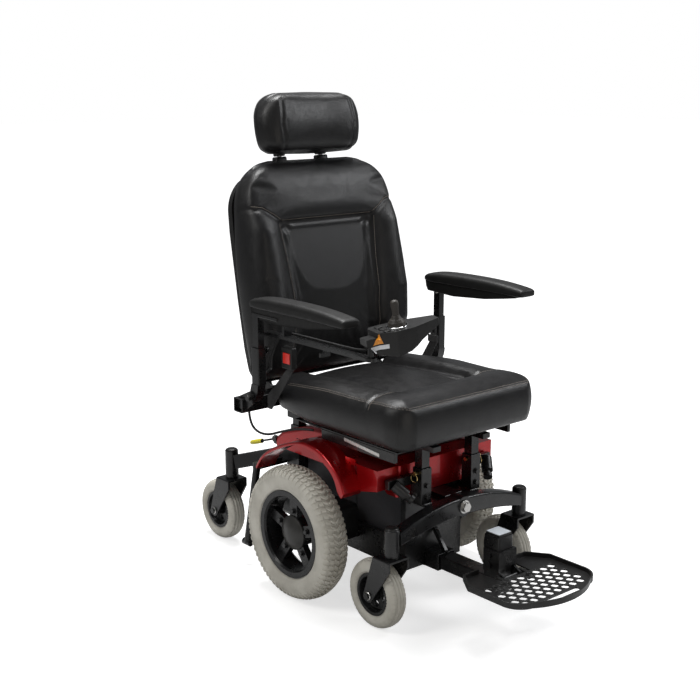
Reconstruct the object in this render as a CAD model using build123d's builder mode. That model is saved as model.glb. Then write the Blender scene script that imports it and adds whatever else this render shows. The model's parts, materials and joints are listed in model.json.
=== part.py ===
"""Six-wheel power wheelchair with a captain's seat.

Millimetres. +Z up, the chair faces -Y, +X is the user's left. The origin is on the
floor, under the middle of the chair's outline. "side" is -1 on the user's right and
+1 on the user's left.
"""

import math
import os

from build123d import *

# ---------------------------------------------------------------- driving dimensions
RIGHT, LEFT = -1, 1
SIDES = {"right": RIGHT, "left": LEFT}

RUNNING = 0.05  # radial clearance of shafts that turn in bores
SLIDING = 0.5  # clearance between telescoping square tubes
GAP = 0.4  # clearance between bodies that move past each other

DRIVE_R = 178.0  # 14 inch drive tyre
DRIVE_W = 78.0
DRIVE_X = 270.0
DRIVE_Y = 66.0
DRIVE_RIM_R = 115.5
DRIVE_BEAD_R = 104.0
SHAFT_R = 10.0

CASTER_R = 88.9  # 7 inch caster tyre
CASTER_W = 50.0
CASTER_RIM_R = 54.0
CASTER_TRAIL = 50.0
KINGPIN = {"front": (229.0, -254.0), "rear": (178.0, 485.0)}
KINGPIN_TUBE_R = 19.0
KINGPIN_TUBE_Z = 201.0
KINGPIN_TOP = {"front": 269.0, "rear": 279.0}
STEM_R = 10.0
FORK_IN = 28.0
FORK_PLATE = 5.0
AXLE_BOLT_R = 5.0

FRAME_X = 100.0
FRAME_FRONT = -165.0
FRAME_REAR = 300.0
FRAME_Z = 96.0
RAIL_TOP = 134.0

BEAM_Y = KINGPIN["front"][1]
BEAM_D = 38.0
BEAM_TOP = 300.0  # at the middle; the beam falls towards its ends
BEAM_PIVOT_Z = 277.0
OUTRIGGER_Y = -190.0  # front of the bar that carries the roll buffers

POST_X = 88.0  # seat posts
POST_FRONT_Y = -210.0
POST_REAR_Y = 282.0
POST_W = 26.0
SOCKET_W = 34.0
SOCKET_TOP = 385.0
SEAT_TRAVEL = 50.0
PIN_Z = 372.0
PIN_R = 5.0

SEAT_X = 255.0
SEAT_FRONT = -301.0
SEAT_REAR = 182.0
SEAT_BASE = 455.0
SEAT_SEAM = 566.0
SEAT_TOP = 588.0
PAN_Z = 437.0

CROSS_Y = 203.0  # tube that carries the arms and the back
CROSS_Z = 504.0
CROSS_W = 38.0
CROSS_END = 350.0

BACK_PIVOT = (262.0, 505.0)
BACK_RECLINE = 8.0  # degrees from vertical at rest
BACK_X = 268.0
BACK_LOW = 26.0  # lower and upper ends of the back, from its pivot
BACK_TOP = 610.0
HEADREST_X = 171.0

ARM_X = 318.0
ARM_PIVOT = (165.0, 530.0)
ARM_POST_Y = 150.0
ARM_SOCKET_TOP = 661.0
ARM_TRAVEL = 50.0
PAD_X = 307.0
PAD_W = 59.0

FOOT_POST_Y = -391.0
FOOT_PIVOT = (-432.0, 142.0)
FOOT_FRONT = -623.9
FOOT_ARM_Z = 114.5

CABLE_D = 6.5

os.makedirs("parts", exist_ok=True)


def save(piece, name):
    """Label one finished piece and write it."""
    piece.part.label = name
    export_step(piece.part, f"parts/{name}.step")


def wheel_plane(centre):
    """Sketch plane through a wheel's axle: x along the axle, y radially up."""
    return Plane(origin=centre, x_dir=(1, 0, 0), z_dir=(0, -1, 0))


def bar(x, y, z, mode=Mode.ADD):
    """Box between two corners, given as (low, high) pairs, in the part being built."""
    with Locations(((x[0] + x[1]) / 2, (y[0] + y[1]) / 2, (z[0] + z[1]) / 2)):
        Box(x[1] - x[0], y[1] - y[0], z[1] - z[0], mode=mode)


def across(side, near, far):
    """X limits of something between two distances from the centreline."""
    return tuple(sorted((side * near, side * far)))


def rod_x(centre, radius, length, mode=Mode.ADD):
    """Round bar along X."""
    with Locations(Location(centre, (0, 90, 0))):
        Cylinder(radius, length, mode=mode)


def rod_y(centre, radius, length, mode=Mode.ADD):
    """Round bar along Y."""
    with Locations(Location(centre, (90, 0, 0))):
        Cylinder(radius, length, mode=mode)


def rod_z(centre, radius, length, mode=Mode.ADD):
    """Round bar along Z."""
    with Locations(centre):
        Cylinder(radius, length, mode=mode)


def dome_middle(edge_r, rise):
    """Middle of the arc from a dome's edge to its apex: (radius, height over the edge)."""
    ball = (edge_r**2 + rise**2) / (2 * rise)
    half = math.acos((ball - rise) / ball) / 2
    return ball * math.sin(half), rise - ball * (1 - math.cos(half))


# ---------------------------------------------------------------- wheels
def tyre(centre, width, radius, bead_r, rim_r, name):
    """Pneumatic tyre: bead between the rim flanges, bulged walls, rounded crown."""
    half = width / 2
    bead = half * 0.70
    wall_r = bead_r + (radius - bead_r) * 0.55
    shoulder = (half * 0.84, bead_r + (radius - bead_r) * 0.86)
    with BuildPart() as piece:
        with BuildSketch(wheel_plane(centre)):
            with BuildLine():
                Polyline((-bead, rim_r + 1), (-bead, bead_r), (bead, bead_r), (bead, rim_r + 1))
                ThreePointArc((bead, rim_r + 1), (half, wall_r), shoulder)
                ThreePointArc(shoulder, (0, radius), (-shoulder[0], shoulder[1]))
                ThreePointArc((-shoulder[0], shoulder[1]), (-half, wall_r), (-bead, rim_r + 1))
            make_face()
        revolve(axis=Axis(centre, (1, 0, 0)))
    save(piece, name)


def drive_wheel(side, name):
    """Treaded tyre, five-spoke rim with its drive shaft, and domed hub cap."""
    centre = (side * DRIVE_X, DRIVE_Y, DRIVE_R)
    tyre(centre, DRIVE_W, DRIVE_R, DRIVE_BEAD_R, DRIVE_RIM_R, f"drive_tyre_{name}")

    flange = DRIVE_W * 0.35
    barrel_in = 97.0
    seat_r = DRIVE_BEAD_R - 0.1
    with BuildPart() as rim:
        with BuildSketch(wheel_plane(centre)):
            with BuildLine():
                Polyline(
                    (-flange - 3.5, barrel_in + 4),
                    (-flange + 2, barrel_in),
                    (flange - 2, barrel_in),
                    (flange + 3.5, barrel_in + 4),
                    (flange + 3.5, DRIVE_RIM_R),
                    (flange + 0.1, DRIVE_RIM_R),
                    (flange + 0.1, seat_r),
                    (-flange - 0.1, seat_r),
                    (-flange - 0.1, DRIVE_RIM_R),
                    (-flange - 3.5, DRIVE_RIM_R),
                    close=True,
                )
            make_face()
        revolve(axis=Axis(centre, (1, 0, 0)))
        with BuildSketch(Plane.YZ.offset(side * (DRIVE_X - 8) - (18 if side < 0 else 0))):
            with Locations((DRIVE_Y, DRIVE_R)):
                Circle(46)
                with PolarLocations(70, 5, start_angle=90):
                    Rectangle(62, 30)
        extrude(amount=18)
        rod_x((side * (DRIVE_X - 14), DRIVE_Y, DRIVE_R), 40, 36)
        shaft_in = 206.0
        shaft_mid = side * (shaft_in + DRIVE_X) / 2
        rod_x((shaft_mid, DRIVE_Y, DRIVE_R), SHAFT_R, DRIVE_X - shaft_in)
    save(rim, f"drive_rim_{name}")

    base = side * (DRIVE_X + 10)
    edge, rise = 45.5, 14.0
    mid_r, mid_up = dome_middle(edge, rise)
    dome = Plane(origin=(base, DRIVE_Y, DRIVE_R), x_dir=(side, 0, 0), z_dir=(0, -side, 0))
    with BuildPart() as cap:
        with BuildSketch(dome):
            with BuildLine():
                Polyline((3 + rise, 0), (0, 0), (0, edge), (3, edge))
                ThreePointArc((3, edge), (3 + mid_up, mid_r), (3 + rise, 0))
            make_face()
        revolve(axis=Axis((base, DRIVE_Y, DRIVE_R), (1, 0, 0)))
    save(cap, f"hub_cap_{name}")


def caster(place, side, name):
    """Fork with its stem and axle bolt, tyre and rim of one caster."""
    pin_x, pin_y = side * KINGPIN[place][0], KINGPIN[place][1]
    axle = (pin_x, pin_y + CASTER_TRAIL, CASTER_R)
    outer = FORK_IN + FORK_PLATE
    crown_top = KINGPIN_TUBE_Z - 4
    stem_top = KINGPIN_TOP[place] - 8

    with BuildPart() as fork:
        with BuildSketch(Plane.YZ.offset(pin_x - outer)):
            with BuildLine():
                Polyline(
                    (pin_y + 64, CASTER_R + 7),
                    (pin_y + 36, crown_top - 12),
                    (pin_y + 32, crown_top),
                    (pin_y - 26, crown_top),
                    (pin_y - 26, crown_top - 26),
                    (pin_y + 35, CASTER_R - 7),
                )
                ThreePointArc(
                    (pin_y + 35, CASTER_R - 7),
                    (pin_y + 56, CASTER_R - 15),
                    (pin_y + 64, CASTER_R + 7),
                )
            make_face()
        extrude(amount=2 * outer)
        bar(
            (pin_x - FORK_IN, pin_x + FORK_IN),
            (pin_y - 80, pin_y + 120),
            (0, crown_top - FORK_PLATE),
            mode=Mode.SUBTRACT,
        )
        corners = fork.edges().filter_by(Axis.Y).group_by(Axis.Z)[-1]
        fillet(corners, 3.5)
        rod_z((pin_x, pin_y, crown_top + 1.5), 17, 3)
        rod_z((pin_x, pin_y, (crown_top + stem_top) / 2), STEM_R, stem_top - crown_top)
        rod_x(axle, AXLE_BOLT_R + 0.02, 4 * outer, mode=Mode.SUBTRACT)
        with BuildSketch(Plane.YZ.offset(pin_x - outer - 7)):
            with Locations((axle[1], axle[2])):
                RegularPolygon(9, 6)
        extrude(amount=7)
        rod_x(axle, AXLE_BOLT_R, 2 * outer)
        with BuildSketch(Plane.YZ.offset(pin_x + outer)):
            with Locations((axle[1], axle[2])):
                RegularPolygon(9, 6)
        extrude(amount=7)
    save(fork, f"caster_fork_{place}_{name}")

    tyre(axle, CASTER_W, CASTER_R, 50.0, CASTER_RIM_R, f"caster_tyre_{place}_{name}")

    half = CASTER_W / 2 * 0.70
    with BuildPart() as rim:
        with BuildSketch(wheel_plane(axle)):
            with BuildLine():
                Polyline(
                    (-half - 3, CASTER_RIM_R),
                    (-half - 3, 46),
                    (-half + 5, 43),
                    (-4, 40),
                    (-4, 17),
                    (-24, 15),
                    (-24, AXLE_BOLT_R + RUNNING),
                    (24, AXLE_BOLT_R + RUNNING),
                    (24, 15),
                    (4, 17),
                    (4, 40),
                    (half - 5, 43),
                    (half + 3, 46),
                    (half + 3, CASTER_RIM_R),
                    (half + 0.1, CASTER_RIM_R),
                    (half + 0.1, 49.9),
                    (-half - 0.1, 49.9),
                    (-half - 0.1, CASTER_RIM_R),
                    close=True,
                )
            make_face()
        revolve(axis=Axis(axle, (1, 0, 0)))
        with Locations(Plane(origin=axle, x_dir=(0, 1, 0), z_dir=(1, 0, 0))):
            with PolarLocations(28.5, 5, start_angle=54):
                Cylinder(8.0, 20, mode=Mode.SUBTRACT)
    save(rim, f"caster_rim_{place}_{name}")


# ---------------------------------------------------------------- base
def front_frame():
    """Front of the frame: beam pivot block, shelf, front seat sockets, receiver mouth."""
    with BuildPart() as front:
        bar((-31, 31), (FRAME_FRONT - 50, FRAME_FRONT), (FOOT_ARM_Z - 22, FOOT_ARM_Z + 22))
        with BuildSketch(Plane.YZ.offset(-5)):
            Polygon(
                (FRAME_FRONT, 204),
                (FRAME_FRONT, 186),
                (FRAME_FRONT - 40, FOOT_ARM_Z + 21),
                (FRAME_FRONT - 50, FOOT_ARM_Z + 21),
                (FRAME_FRONT - 50, FOOT_ARM_Z + 26),
                align=None,
            )
        extrude(amount=10)
        beam_back = BEAM_Y + BEAM_D / 2 + GAP
        bar((-30, 30), (beam_back, FRAME_FRONT), (BEAM_PIVOT_Z - 24, BEAM_PIVOT_Z + 24))
        bar((-96, 96), (POST_FRONT_Y - 21, FRAME_FRONT), (284, 291))
        # gusset strip joins the pivot block to the receiver
        bar((-5, 5), (FRAME_FRONT - 8, FRAME_FRONT), (190, BEAM_PIVOT_Z - 20))
        for side in (RIGHT, LEFT):
            bar(across(side, 88, 96), (POST_FRONT_Y - 10, FRAME_FRONT), (291, 300))
            bar(across(side, 88, 96), (OUTRIGGER_Y, OUTRIGGER_Y + 14), (291, 362))
            bar(across(side, 88, 182), (OUTRIGGER_Y, OUTRIGGER_Y + 14), (338, 362))
            half = SOCKET_W / 2
            x = (side * POST_X - half, side * POST_X + half)
            bar(x, (POST_FRONT_Y - half, POST_FRONT_Y + half), (291, SOCKET_TOP))
        receiver_hollow(FRAME_FRONT - 60, FRAME_FRONT + 1)
        for side in (RIGHT, LEFT):
            socket_hollow(side, POST_FRONT_Y, 296)
            rod_x((side * POST_X, POST_FRONT_Y, PIN_Z), PIN_R + 0.1, 60, mode=Mode.SUBTRACT)
        rod_y((0, BEAM_Y + 60, BEAM_PIVOT_Z), 8 + 0.02, 90, mode=Mode.SUBTRACT)
    save(front, "front_frame")


def receiver_hollow(front, rear):
    """Cuts the square way that the footrest arm slides in."""
    bar(
        (-25 - SLIDING, 25 + SLIDING),
        (front, rear),
        (FOOT_ARM_Z - 18 - SLIDING, FOOT_ARM_Z + 18 + SLIDING),
        mode=Mode.SUBTRACT,
    )


def socket_hollow(side, y, foot):
    """Cuts the way of a seat post into its socket."""
    inner = POST_W / 2 + SLIDING
    x = (side * POST_X - inner, side * POST_X + inner)
    bar(x, (y - inner, y + inner), (foot, SOCKET_TOP + 5), mode=Mode.SUBTRACT)


def base_frame():
    """Welded frame: battery tray, uprights, rear seat sockets and caster arms, struts."""
    with BuildPart() as frame:
        # battery tray: two side channels, floor and end walls
        for side in (RIGHT, LEFT):
            bar(across(side, 88, FRAME_X), (FRAME_FRONT, FRAME_REAR), (FRAME_Z, 176))
            bar(across(side, 76, FRAME_X), (FRAME_FRONT, FRAME_REAR), (FRAME_Z, RAIL_TOP))
            bar(across(side, 84, FRAME_X), (FRAME_FRONT, FRAME_FRONT + 18), (176, 318))
            bar(across(side, 84, FRAME_X), (FRAME_REAR - 18, FRAME_REAR), (176, 318))
            bar(across(side, 84, FRAME_X), (FRAME_FRONT, FRAME_REAR), (318, 336))
        bar((-FRAME_X, FRAME_X), (FRAME_FRONT, FRAME_FRONT + 6), (FRAME_Z, 336))
        bar((-FRAME_X, FRAME_X), (FRAME_REAR - 6, FRAME_REAR), (FRAME_Z, 318))
        bar((-80, 80), (FRAME_FRONT, FRAME_REAR), (RAIL_TOP + 2, RAIL_TOP + 6))
        # rear part of the footrest arm's receiver
        bar((-31, 31), (FRAME_FRONT, 40), (FOOT_ARM_Z - 22, FOOT_ARM_Z + 22))
        # rear seat sockets and the bar that joins them
        half = SOCKET_W / 2
        for side in (RIGHT, LEFT):
            x = (side * POST_X - half, side * POST_X + half)
            bar(x, (POST_REAR_Y - half, POST_REAR_Y + half), (220, SOCKET_TOP))
        bar((-FRAME_X, FRAME_X), (POST_REAR_Y - 17, POST_REAR_Y + 17), (318, 336))
        # rear caster arms and their kingpin tubes
        pin_x, pin_y = KINGPIN["rear"]
        top = KINGPIN_TOP["rear"]
        for side in (RIGHT, LEFT):
            arm_plane = Plane(
                origin=(side * 92, FRAME_REAR - 6, 305),
                z_dir=(side * (pin_x - 92), pin_y - 6 - FRAME_REAR, 246 - 305),
                x_dir=(1, 0, 0),
            )
            with BuildSketch(arm_plane):
                Rectangle(28, 40)
            extrude(amount=198)
            middle = (KINGPIN_TUBE_Z + top) / 2
            rod_z((side * pin_x, pin_y, middle), KINGPIN_TUBE_R, top - KINGPIN_TUBE_Z)
        # rear guard: cross bar, and a tube behind each drive wheel that splays outward
        bar((-212, 212), (318, 336), (268, 286))
        for side in (RIGHT, LEFT):
            bar(across(side, 90, 104), (FRAME_REAR - 8, 320), (262, 290))
            tube_plane = Plane(origin=(side * 202, 327, 284), z_dir=(side * 38, 0, -226))
            with BuildSketch(tube_plane):
                Circle(10.5)
            extrude(amount=math.hypot(38, 226))
            rod_y((side * 240, 327, 62), 9.5, 30)
        # hollows: receiver, sockets and kingpin bores
        receiver_hollow(FRAME_FRONT - 1, 30)
        for side in (RIGHT, LEFT):
            socket_hollow(side, POST_REAR_Y, 290)
            rod_z(
                (side * pin_x, pin_y, KINGPIN_TUBE_Z + (top - KINGPIN_TUBE_Z - 7) / 2),
                STEM_R + RUNNING,
                top - KINGPIN_TUBE_Z - 7,
                mode=Mode.SUBTRACT,
            )
        rod_y((0, BEAM_Y + 60, BEAM_PIVOT_Z), 8 + 0.02, 90, mode=Mode.SUBTRACT)
        # perches of the freewheel levers
        for side in (RIGHT, LEFT):
            bar(across(side, 84, 128), (330, 348), (322, 330))
            bar(across(side, 84, FRAME_X), (300, 348), (322, 330))
            bar(across(side, 122, 128), (330, 348), (322, 346))
            rod_x((side * 125, 339, 338), 3.02, 10, mode=Mode.SUBTRACT)
    save(frame, "base_frame")


def batteries():
    """Two sealed batteries, side by side along the chair, with their terminals."""
    length, height = 208, 170
    with BuildPart() as packs:
        for low in (FRAME_FRONT + 10, FRAME_FRONT + 14 + length):
            bar((-72, 72), (low, low + length), (RAIL_TOP + 6, RAIL_TOP + 6 + height))
            for x in (-45, 45):
                rod_z((x, low + 20, RAIL_TOP + 6 + height + 3), 7, 6)
    save(packs, "batteries")


def gearmotor(side, name):
    """Right-angle gearbox on the frame side, with the motor lying along the chair."""
    inner, outer = FRAME_X, 222.0
    box_mid = side * (inner + outer) / 2
    with BuildPart() as motor:
        bar(across(side, inner, outer - 12), (DRIVE_Y - 48, DRIVE_Y + 48), (130, 226))
        edges = motor.edges().filter_by(Axis.X)
        fillet(edges, 14)
        rod_x((side * (outer - 9), DRIVE_Y, DRIVE_R), 34, 18)
        rod_y((side * 150, DRIVE_Y + 130, 190), 40, 170)
        rod_y((side * 150, DRIVE_Y + 222, 190), 33, 20)
        rod_x((box_mid, DRIVE_Y, DRIVE_R), 5, 20)
        bore = outer - 204
        rod_x(
            (side * (outer - bore / 2 + 0.5), DRIVE_Y, DRIVE_R),
            SHAFT_R + RUNNING,
            bore + 1,
            mode=Mode.SUBTRACT,
        )
    save(motor, f"gearmotor_{name}")


def freewheel_lever(side, name):
    """Lever that releases the motor brake, with a thick grip at its tip."""
    pivot = (side * 133, 339, 338)
    slope = math.atan2(-30, 90)
    with BuildPart() as lever:
        rod_x((side * 131.5, 339, 338), 9, 6)
        rod_x((side * 126, 339, 338), 3, 12)
        along = Plane(
            origin=(side * 131.5, 339, 338),
            z_dir=(0, math.cos(slope), math.sin(slope)),
            x_dir=(1, 0, 0),
        )
        with BuildSketch(along):
            Circle(3.0)
        extrude(amount=66)
        with BuildSketch(along.offset(62)):
            Circle(6.0)
        extrude(amount=54)
        fillet(lever.edges().sort_by(Axis.Y)[-1], 3)
    save(lever, f"freewheel_lever_{name}")


SHROUD_X = 132.0
FASCIA_Y = -172.0


def shroud():
    """Moulded cover over the batteries and electronics, open underneath."""
    wall = 3.5
    with BuildPart() as cover:
        with BuildSketch(Plane.YZ.offset(-SHROUD_X)):
            with BuildLine():
                Polyline((-170.5, 302), (-170.5, 385))
                Polyline((-170.5, 385), (-150, 402), (60, 416), (190, 408), (300, 372), (338, 344))
                Polyline((338, 344), (338, 320), (-105, 320), (-130, 302), (-170.5, 302))
            make_face()
        extrude(amount=2 * SHROUD_X)
        fillet(cover.edges().filter_by(Axis.X).group_by(Axis.Z)[-1], 30)
        upper = [e for e in cover.edges().group_by(Axis.X)[0] if e.center().Z > 340]
        upper += [e for e in cover.edges().group_by(Axis.X)[-1] if e.center().Z > 340]
        fillet(upper, 12)
        with BuildSketch(Plane.YZ.offset(-SHROUD_X + wall)):
            Polygon(
                (-170.5 + wall, 280),
                (-170.5 + wall, 381),
                (-148, 397),
                (60, 411),
                (188, 403),
                (296, 368),
                (338 - wall, 340),
                (338 - wall, 280),
                align=None,
            )
        extrude(amount=2 * (SHROUD_X - wall), mode=Mode.SUBTRACT)
        hole = SOCKET_W / 2 + 2
        for side in (RIGHT, LEFT):
            x = (side * POST_X - hole, side * POST_X + hole)
            bar(x, (POST_REAR_Y - hole, POST_REAR_Y + hole), (350, 430), mode=Mode.SUBTRACT)
            bar(across(side, 80, 140), (330, 345), (300, 352), mode=Mode.SUBTRACT)
    save(cover, "shroud")


def fender(side, name):
    """Mudguard: thin skin over the wheel's inner half that ends in a deep rounded nose."""
    inner, outer, wall = 200.0, 262.0, 4.0
    deck = (384.0, 388.0)
    top = [(255, 306), (234, 336), (142, 394), (45, 421), (-37, 405), (-97, 358), (-113, 326)]
    lip = [(-104, 313), (-92, 322), (-80, 347), (-28, 391), (44, 412), (138, 386)]
    lip_end = (229, 329)
    with BuildPart() as guard:
        with BuildSketch(Plane.YZ.offset(across(side, inner, outer)[0])):
            with BuildLine():
                Spline(*top)
                Line(top[-1], lip[0])
                Spline(*lip, lip_end, (248, 302))
                Line((248, 302), top[0])
            make_face()
        extrude(amount=outer - inner)
        rim = [e for e in guard.edges() if abs(abs(e.center().X) - outer) < 0.1 and e.length > 300]
        fillet(sorted(rim, key=lambda e: e.center().Z)[-1:], 5)
        bar(across(side, SHROUD_X + 1, inner + 2), (FASCIA_Y, 150), deck)
        bar(across(side, SHROUD_X + 1, inner + 2), (FASCIA_Y, FASCIA_Y + wall), (335, deck[1]))
        bar(across(side, inner, inner + wall), (-90, 150), (deck[0] - 2, 398))
        nose = [(FASCIA_Y, 335), (FASCIA_Y, 388), (-97, 388), (-97, 345), (-108, 320)]
        with BuildSketch(Plane.YZ.offset(across(side, inner, inner + wall)[0])):
            Polygon(*nose, align=None)
        extrude(amount=wall)
    save(guard, f"fender_{name}")


def front_beam():
    """Arched walking beam with a kingpin tube at each end."""
    pin_x = KINGPIN["front"][0]
    end = pin_x - 12
    top = KINGPIN_TOP["front"]
    end_top, end_low, low = 259.0, 225.0, 253.0
    with BuildPart() as beam:
        with BuildSketch(Plane.XZ.offset(-BEAM_Y - BEAM_D / 2)):
            with BuildLine():
                ThreePointArc((-end, end_top), (0, BEAM_TOP), (end, end_top))
                Line((end, end_top), (end, end_low))
                ThreePointArc((end, end_low), (0, low), (-end, end_low))
                Line((-end, end_low), (-end, end_top))
            make_face()
        extrude(amount=BEAM_D)
        long_edges = [e for e in beam.edges() if e.length > end]
        fillet(long_edges, 6)
        rod_y((0, BEAM_Y, BEAM_PIVOT_Z), 26, BEAM_D)
        for side in (RIGHT, LEFT):
            middle = (KINGPIN_TUBE_Z + top) / 2
            rod_z((side * pin_x, BEAM_Y, middle), KINGPIN_TUBE_R, top - KINGPIN_TUBE_Z)
        rims = [e for e in beam.edges() if abs(e.center().X) > end and e.center().Z > top - 1]
        fillet(rims, 2.5)
        for side in (RIGHT, LEFT):
            rod_z(
                (side * pin_x, BEAM_Y, KINGPIN_TUBE_Z + (top - KINGPIN_TUBE_Z - 7) / 2),
                STEM_R + RUNNING,
                top - KINGPIN_TUBE_Z - 7,
                mode=Mode.SUBTRACT,
            )
        rod_y((0, BEAM_Y, BEAM_PIVOT_Z), 8 + RUNNING, 2 * BEAM_D, mode=Mode.SUBTRACT)
    save(beam, "front_beam")


def beam_pivot_bolt():
    """Hex-head pivot bolt of the front beam, with its washer."""
    front = BEAM_Y - BEAM_D / 2 - GAP
    with BuildPart() as bolt:
        rod_y((0, (front + FRAME_FRONT - 10) / 2, BEAM_PIVOT_Z), 8, FRAME_FRONT - 10 - front)
        rod_y((0, front - 1.5, BEAM_PIVOT_Z), 17, 3)
        with BuildSketch(Plane.XZ.offset(-front + 3)):
            with Locations((0, BEAM_PIVOT_Z)):
                RegularPolygon(13, 6)
        extrude(amount=9)
    save(bolt, "beam_pivot_bolt")


def roll_buffers():
    """Two spring buffers that stop the front beam's roll."""
    with BuildPart() as buffers:
        for side in (RIGHT, LEFT):
            strut = Plane(
                origin=(side * 165, OUTRIGGER_Y - 1, 350),
                z_dir=(side * -43, -52, -55),
                x_dir=(1, 0, 0),
            )
            with BuildSketch(strut):
                Circle(15)
            extrude(amount=40)
            with BuildSketch(strut.offset(40)):
                Circle(8)
            extrude(amount=10)
            with BuildSketch(strut.offset(50)):
                Circle(12)
            extrude(amount=10)
        bar((-200, 200), (OUTRIGGER_Y, OUTRIGGER_Y + 40), (300, 400), mode=Mode.SUBTRACT)
    save(buffers, "roll_buffers")


def seat_pins():
    """Quick-release pins of the front seat posts, each with its pull ring."""
    face = POST_X + SOCKET_W / 2
    with BuildPart() as pins:
        for side in (RIGHT, LEFT):
            rod_x((side * (POST_X + 3), POST_FRONT_Y, PIN_Z), PIN_R, 52)
            rod_x((side * (face + 6.5), POST_FRONT_Y, PIN_Z), 6.5, 10)
            with Locations(Location((side * (face + 10), POST_FRONT_Y, PIN_Z - 11), (0, 90, 0))):
                Torus(11, 1.4)
    save(pins, "seat_pins")


# ---------------------------------------------------------------- footrest
def footrest():
    """Sliding arm with its post, the carrier on the post, and the folding tray."""
    with BuildPart() as arm:
        with BuildSketch(Plane.XZ.offset(20)):
            with Locations((0, FOOT_ARM_Z)):
                RectangleRounded(50, 36, 4)
        extrude(amount=-FOOT_POST_Y - 20)
        with BuildSketch(Plane.XY.offset(FOOT_ARM_Z - 18)):
            with Locations((0, FOOT_POST_Y)):
                RectangleRounded(50, 50, 4)
        extrude(amount=240 - FOOT_ARM_Z + 18)
        bar((-22, 22), (FOOT_POST_Y - 22, FOOT_POST_Y + 22), (240, 246))
    save(arm, "footrest_arm")

    pivot_y, pivot_z = FOOT_PIVOT
    with BuildPart() as carrier:
        for side in (RIGHT, LEFT):
            with BuildSketch(Plane.YZ.offset(across(side, 25.5, 31.5)[0])):
                Polygon(
                    (FOOT_POST_Y + 20, 150),
                    (FOOT_POST_Y + 20, 206),
                    (FOOT_POST_Y - 31, 206),
                    (FOOT_POST_Y - 31, 158),
                    (pivot_y - 9, pivot_z + 7),
                    (pivot_y - 9, pivot_z - 8),
                    (pivot_y, pivot_z - 12),
                    align=None,
                )
            extrude(amount=6)
            for z in (168, 192):
                rod_x((side * 34, FOOT_POST_Y, z), 8, 5)
        bar((-31.5, 31.5), (FOOT_POST_Y - 31.5, FOOT_POST_Y - 25.5), (164, 206))
        rod_x((0, pivot_y, pivot_z), 5, 96)
    save(carrier, "footplate_carrier")

    floor, floor_top, rim_top = 146.0, 150.5, 161.0
    with BuildPart() as plate:
        with BuildSketch(Plane.XY.offset(floor)):
            with BuildLine():
                Polyline((-112, -380), (-149, -432), (-149, -545))
                ThreePointArc((-149, -545), (-135, -577), (-104, -594))
                ThreePointArc((-104, -594), (0, FOOT_FRONT), (104, -594))
                ThreePointArc((104, -594), (135, -577), (149, -545))
                Polyline((149, -545), (149, -432), (112, -380))
                Polyline((112, -380), (58, -380), (52, -450), (-52, -450), (-58, -380), (-112, -380))
            make_face()
        extrude(amount=rim_top - floor)
        with BuildSketch(Plane.XY.offset(floor_top)):
            with BuildLine():
                Polyline((-109, -385), (-145, -433), (-145, -544))
                ThreePointArc((-145, -544), (-132, -573), (-102, -590))
                ThreePointArc((-102, -590), (0, FOOT_FRONT + 4), (102, -590))
                ThreePointArc((102, -590), (132, -573), (145, -544))
                Polyline((145, -544), (145, -433), (109, -385))
                Polyline((109, -385), (56, -385), (56, -462), (-56, -462), (-56, -385), (-109, -385))
            make_face()
        extrude(amount=30, mode=Mode.SUBTRACT)
        bar((-60, 60), (-462, -370), (floor_top, rim_top + 10), mode=Mode.SUBTRACT)
        with BuildSketch(Plane.XY.offset(floor - 2)):
            for row in range(6):
                count = 9 if row % 2 == 0 else 8
                with Locations((0, -466 - row * 20.5)):
                    with GridLocations(28, 1, count, 1):
                        RegularPolygon(11.5, 6)
            with Locations((0, -595)):
                SlotOverall(120, 16)
        extrude(amount=10, mode=Mode.SUBTRACT)
        for side in (RIGHT, LEFT):
            bar(across(side, 36, 46), (-462, pivot_y + 10), (pivot_z - 9, floor_top))
        rod_x((0, pivot_y, pivot_z), 5 + RUNNING, 100, mode=Mode.SUBTRACT)
    save(plate, "footplate")


# ---------------------------------------------------------------- seat
def seat_frame():
    """Pan, four posts, its side bars, and the brackets that carry the cross tube."""
    inner = POST_W / 2
    with BuildPart() as frame:
        bar((-205, 205), (-245, 150), (PAN_Z + 12, PAN_Z + 16))
        for side in (RIGHT, LEFT):
            bar(across(side, POST_X - inner, POST_X + inner), (-262, 296), (PAN_Z - 2, PAN_Z + 12))
            bar(across(side, 196, 206), (-236, 40), (424, PAN_Z + 12))
            bar(across(side, 150, 176), (120, 222), (PAN_Z, PAN_Z + 16))
            bar(across(side, 150, 176), (CROSS_Y - 19, CROSS_Y + 19), (PAN_Z, CROSS_Z - CROSS_W / 2))
            for y in (POST_FRONT_Y, POST_REAR_Y):
                x = (side * POST_X - inner, side * POST_X + inner)
                bar(x, (y - inner, y + inner), (300, PAN_Z + 2))
            bar(
                (side * POST_X - 20, side * POST_X + 20),
                (POST_FRONT_Y - PIN_R - 1, POST_FRONT_Y + PIN_R + 1),
                (PIN_Z - SEAT_TRAVEL - PIN_R - 2, PIN_Z + PIN_R + 2),
                mode=Mode.SUBTRACT,
            )
    save(frame, "seat_frame")


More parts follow.
